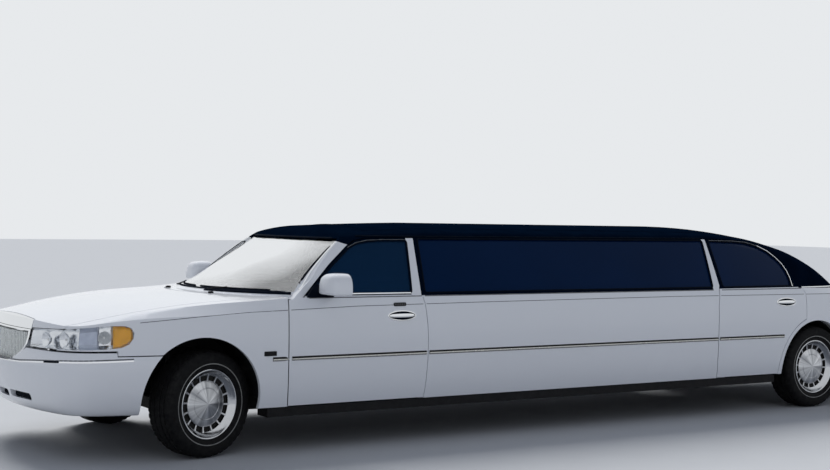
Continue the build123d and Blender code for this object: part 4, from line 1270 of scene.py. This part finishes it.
def make_cabin():
    for name, x, y, z, lean, rows, columns in PADS:
        if name.startswith("front"):
            pad(f"{name}_left", x, y, z, lean, rows, columns)
            pad(f"{name}_right", x, (-y[1], -y[0]), z, lean, rows, [-value for value in columns])
        else:
            pad(name, x, y, z, lean, rows, columns)
    for name, *limits in BASES:
        piece(name, box(*limits), "trim", "body", seat_node(name), bevel=0.012)
    lip = tube([(-0.90, -0.475, 0.812), (1.10, -0.475, 0.812)], 0.007)
    posts = [tube([(x, -0.475, 0.788), (x, -0.475, 0.812)], 0.005) for x in np.linspace(-0.88, 1.08, 8)]
    piece("bar_rail", join(lip, *posts), "chrome")
    front = caster("inside", "bar_cabinet")
    for i, x in enumerate((-0.64, -0.13, 0.38, 0.89)):
        outline = ((x - 0.20, 0.40), (x + 0.20, 0.40), (x + 0.20, 0.72), (x - 0.20, 0.72))
        piece(f"bar_panel_{i}", loop(front, outline, 0.014, 0.005, 0.0), "wood")


CARD_Z = (0.40, 0.965)
CARD_ROWS = 24
CARD_COLUMNS = 30


def front_card_ends(z):
    return -2.34, -1.45


def rear_card_ends(z):
    """The rear door's card stops ahead of the wheel arch."""
    arch = REAR_AXLE_X - max(0.0, 0.57 ** 2 - (z - TYRE_R) ** 2) ** 0.5
    return 1.48, min(2.34, arch)


def door_card(inner, x_ends):
    """A panel laid on a door: its edges touch the door and its middle stands off."""
    verts = []
    for z in np.linspace(*CARD_Z, CARD_ROWS):
        ends = x_ends(z)
        for x in np.linspace(*ends, CARD_COLUMNS):
            point, normal = inner(x, z)
            verts.append(point + normal * (0.0005 if z in CARD_Z or x in ends else 0.010))
    return verts, grid_faces(CARD_ROWS, CARD_COLUMNS)


def make_door_cards():
    rows = (
        # name, height, width, how far it stands off, surface
        ("arm_rest", 0.700, 0.085, 0.052, "leather"),
        ("card_wood", 0.895, 0.045, 0.014, "wood"),
        ("card_pocket", 0.500, 0.100, 0.022, "trim"),
    )
    for end, ends, rest_end in (("front", front_card_ends, -1.50), ("rear", rear_card_ends, 2.10)):
        inner = caster("inside", f"{end}_door_left")
        body = f"door_{end}_{{side}}"
        pair(f"door_card_{end}", door_card(inner, ends), "trim", body)
        low, high = ends(0.70)
        start, stop = low + 0.12, min(rest_end, high - 0.05)
        for name, z, width, stand, surface in rows:
            pair(f"{name}_{end}", level(inner, (start, stop), z, width, stand), surface, body)
        spots = [inner(x, 0.815) for x in (start + 0.02, start + 0.16)]
        first, last = [point + normal * 0.012 for point, normal in spots]
        a, b = [point + normal * 0.034 for point, normal in spots]
        pair(f"door_pull_{end}", tube([first, a.lerp(b, 0.15), a.lerp(b, 0.85), last], 0.007), "chrome", body)


def make_dash():
    tilt = placed((-1.850, -0.400, 0.880), 65, "Y")
    piece("wheel_grip", moved(oval_ring(0.185, 0.185, 0.0178, 64, 14), tilt), "leather")
    piece("wheel_hub", moved(plate(0.105, 0.120, 0.026, 0.030, 0.006), tilt), "trim")
    slope = placed((-2.025, -0.400, 0.9125), 43, "Y")
    piece("cluster", moved(plate(0.072, 0.330, 0.006, 0.014), slope), "black")
    rings = [moved(oval_ring(r, r, 0.0022, 32, 8), slope @ placed((0, y, 0.007)))
             for r, y in ((0.029, -0.045), (0.029, 0.045), (0.020, -0.120), (0.020, 0.120))]
    piece("gauge_rings", join(*rings), "chrome")
    slat = plate(0.004, 0.112, 0.009, 0.0015)
    slats = [moved(slat, placed((x, 0, 0))) for x in np.linspace(-0.018, 0.018, 5)]
    vent = join(plate(0.052, 0.130, 0.004, 0.010), *slats)
    for i, y in enumerate((-0.68, -0.12, 0.12, 0.68)):
        piece(f"vent_{i}", moved(vent, placed((-2.000, y, 0.835), 101, "Y")), "black")
    wood = plate(0.020, 0.560, 0.006, 0.006)
    piece("dash_wood", moved(wood, placed((-2.006, 0.40, 0.790), 101, "Y")), "wood")


# Engine bay: pulleys as radius, Y and Z, and the alternator's profile of (Y, radius)

PULLEYS = ((0.085, 0.0, 0.46), (0.050, -0.17, 0.58), (0.060, 0.16, 0.60), (0.045, 0.0, 0.66))
ALTERNATOR = ((-0.08, 0.03), (-0.075, 0.058), (-0.05, 0.066), (0.05, 0.066), (0.075, 0.058), (0.08, 0.03))
BAY_BOXES = (
    # name, X, Y, Z, surface, bevel
    ("intake_plenum", (-3.22, -2.70), (-0.055, 0.055), (0.785, 0.838), "iron", 0.020),
    ("radiator", (-3.500, -3.462), (-0.32, 0.32), (0.36, 0.70), "black", 0.006),
    ("filter_box", (-3.42, -3.18), (-0.50, -0.33), (0.62, 0.77), "black", 0.014),
    ("battery", (-3.42, -3.22), (0.34, 0.50), (0.58, 0.75), "black", 0.008),
)


def pulley(radius, y, z):
    """A grooved pulley ahead of the engine."""
    profile = [(-0.016, radius), (-0.010, radius), (0.0, radius - 0.010), (0.010, radius), (0.016, radius),
               (0.016, 0.012), (-0.016, 0.012)]
    return moved(revolved(profile, 40), placed((-3.320, y, z), 90))


def make_engine_bay():
    """A vee engine with covers, runners and pulleys, its radiator and what stands beside it."""
    block = box((-3.28, -2.64), (-0.17, 0.17), (0.40, 0.60))
    sump = box((-3.24, -2.80), (-0.13, 0.13), (0.335, 0.40))
    piece("engine_block", join(block, sump), "iron", "body", "engine", bevel=0.012)
    for side, sign in zip(SIDES, (-1, 1)):
        bank = placed((-2.96, sign * 0.165, 0.640), -38 * sign, "X")
        head = box((-0.30, 0.30), (-0.085, 0.085), (-0.09, 0.06))
        piece(f"cylinder_head_{side}", moved(head, bank), "iron", bevel=0.010)
        cover = box((-0.29, 0.29), (-0.070, 0.070), (0.060, 0.105))
        piece(f"valve_cover_{side}", moved(cover, bank), "dark_chrome", bevel=0.018)
        ribs = [tube([(-0.24, y, 0.107), (0.24, y, 0.107)], 0.004) for y in (-0.03, 0.0, 0.03)]
        piece(f"cover_ribs_{side}", moved(join(*ribs), bank), "dark_chrome")
        bend = ((0.12, 0.700), (0.13, 0.765), (0.09, 0.805), (0.03, 0.812))
        runners = [tube([(x, sign * y, z) for y, z in bend], 0.021, 12) for x in np.linspace(-3.17, -2.75, 4)]
        piece(f"intake_runners_{side}", join(*runners), "iron")
    piece("pulleys", join(*[pulley(*row) for row in PULLEYS]), "steel")
    case = moved(revolved(ALTERNATOR, 32), placed((-3.190, 0.245, 0.600), 90))
    piece("alternator", case, "steel")
    fins = [box((-3.461, -3.459), (-0.30, 0.30), (z, z + 0.003)) for z in np.linspace(0.38, 0.68, 40)]
    piece("radiator_fins", join(*fins), "steel")
    hose = [(-3.46, 0.20, 0.66), (-3.40, 0.20, 0.70), (-3.32, 0.14, 0.735), (-3.24, 0.06, 0.745)]
    piece("hose_upper", tube(hose, 0.019, 12), "seal")
    duct = [(-3.34, -0.36, 0.74), (-3.36, -0.24, 0.76), (-3.34, -0.10, 0.80), (-3.24, -0.02, 0.812)]
    piece("intake_duct", tube(duct, 0.032, 16), "black")
    for name, x, y, z, surface, bevel in BAY_BOXES:
        piece(name, box(x, y, z), surface, bevel=bevel)
    posts = [tube([(x, 0.42, 0.748), (x, 0.42, 0.764)], 0.008, 16) for x in (-3.38, -3.26)]
    piece("battery_posts", join(*posts), "steel")


dress_nodes()
make_camera()
make_world()
make_lights()
make_floor()
make_wheels()
make_side_trim()
make_handles()
make_window_trim()
make_screen_trim()
make_mirrors()
make_headlamps()
make_bumper_trim()
make_rear_trim()
make_roof_trim()
make_cabin()
make_door_cards()
make_dash()
make_engine_bay()

bpy.context.scene.view_settings.view_transform = "Standard"
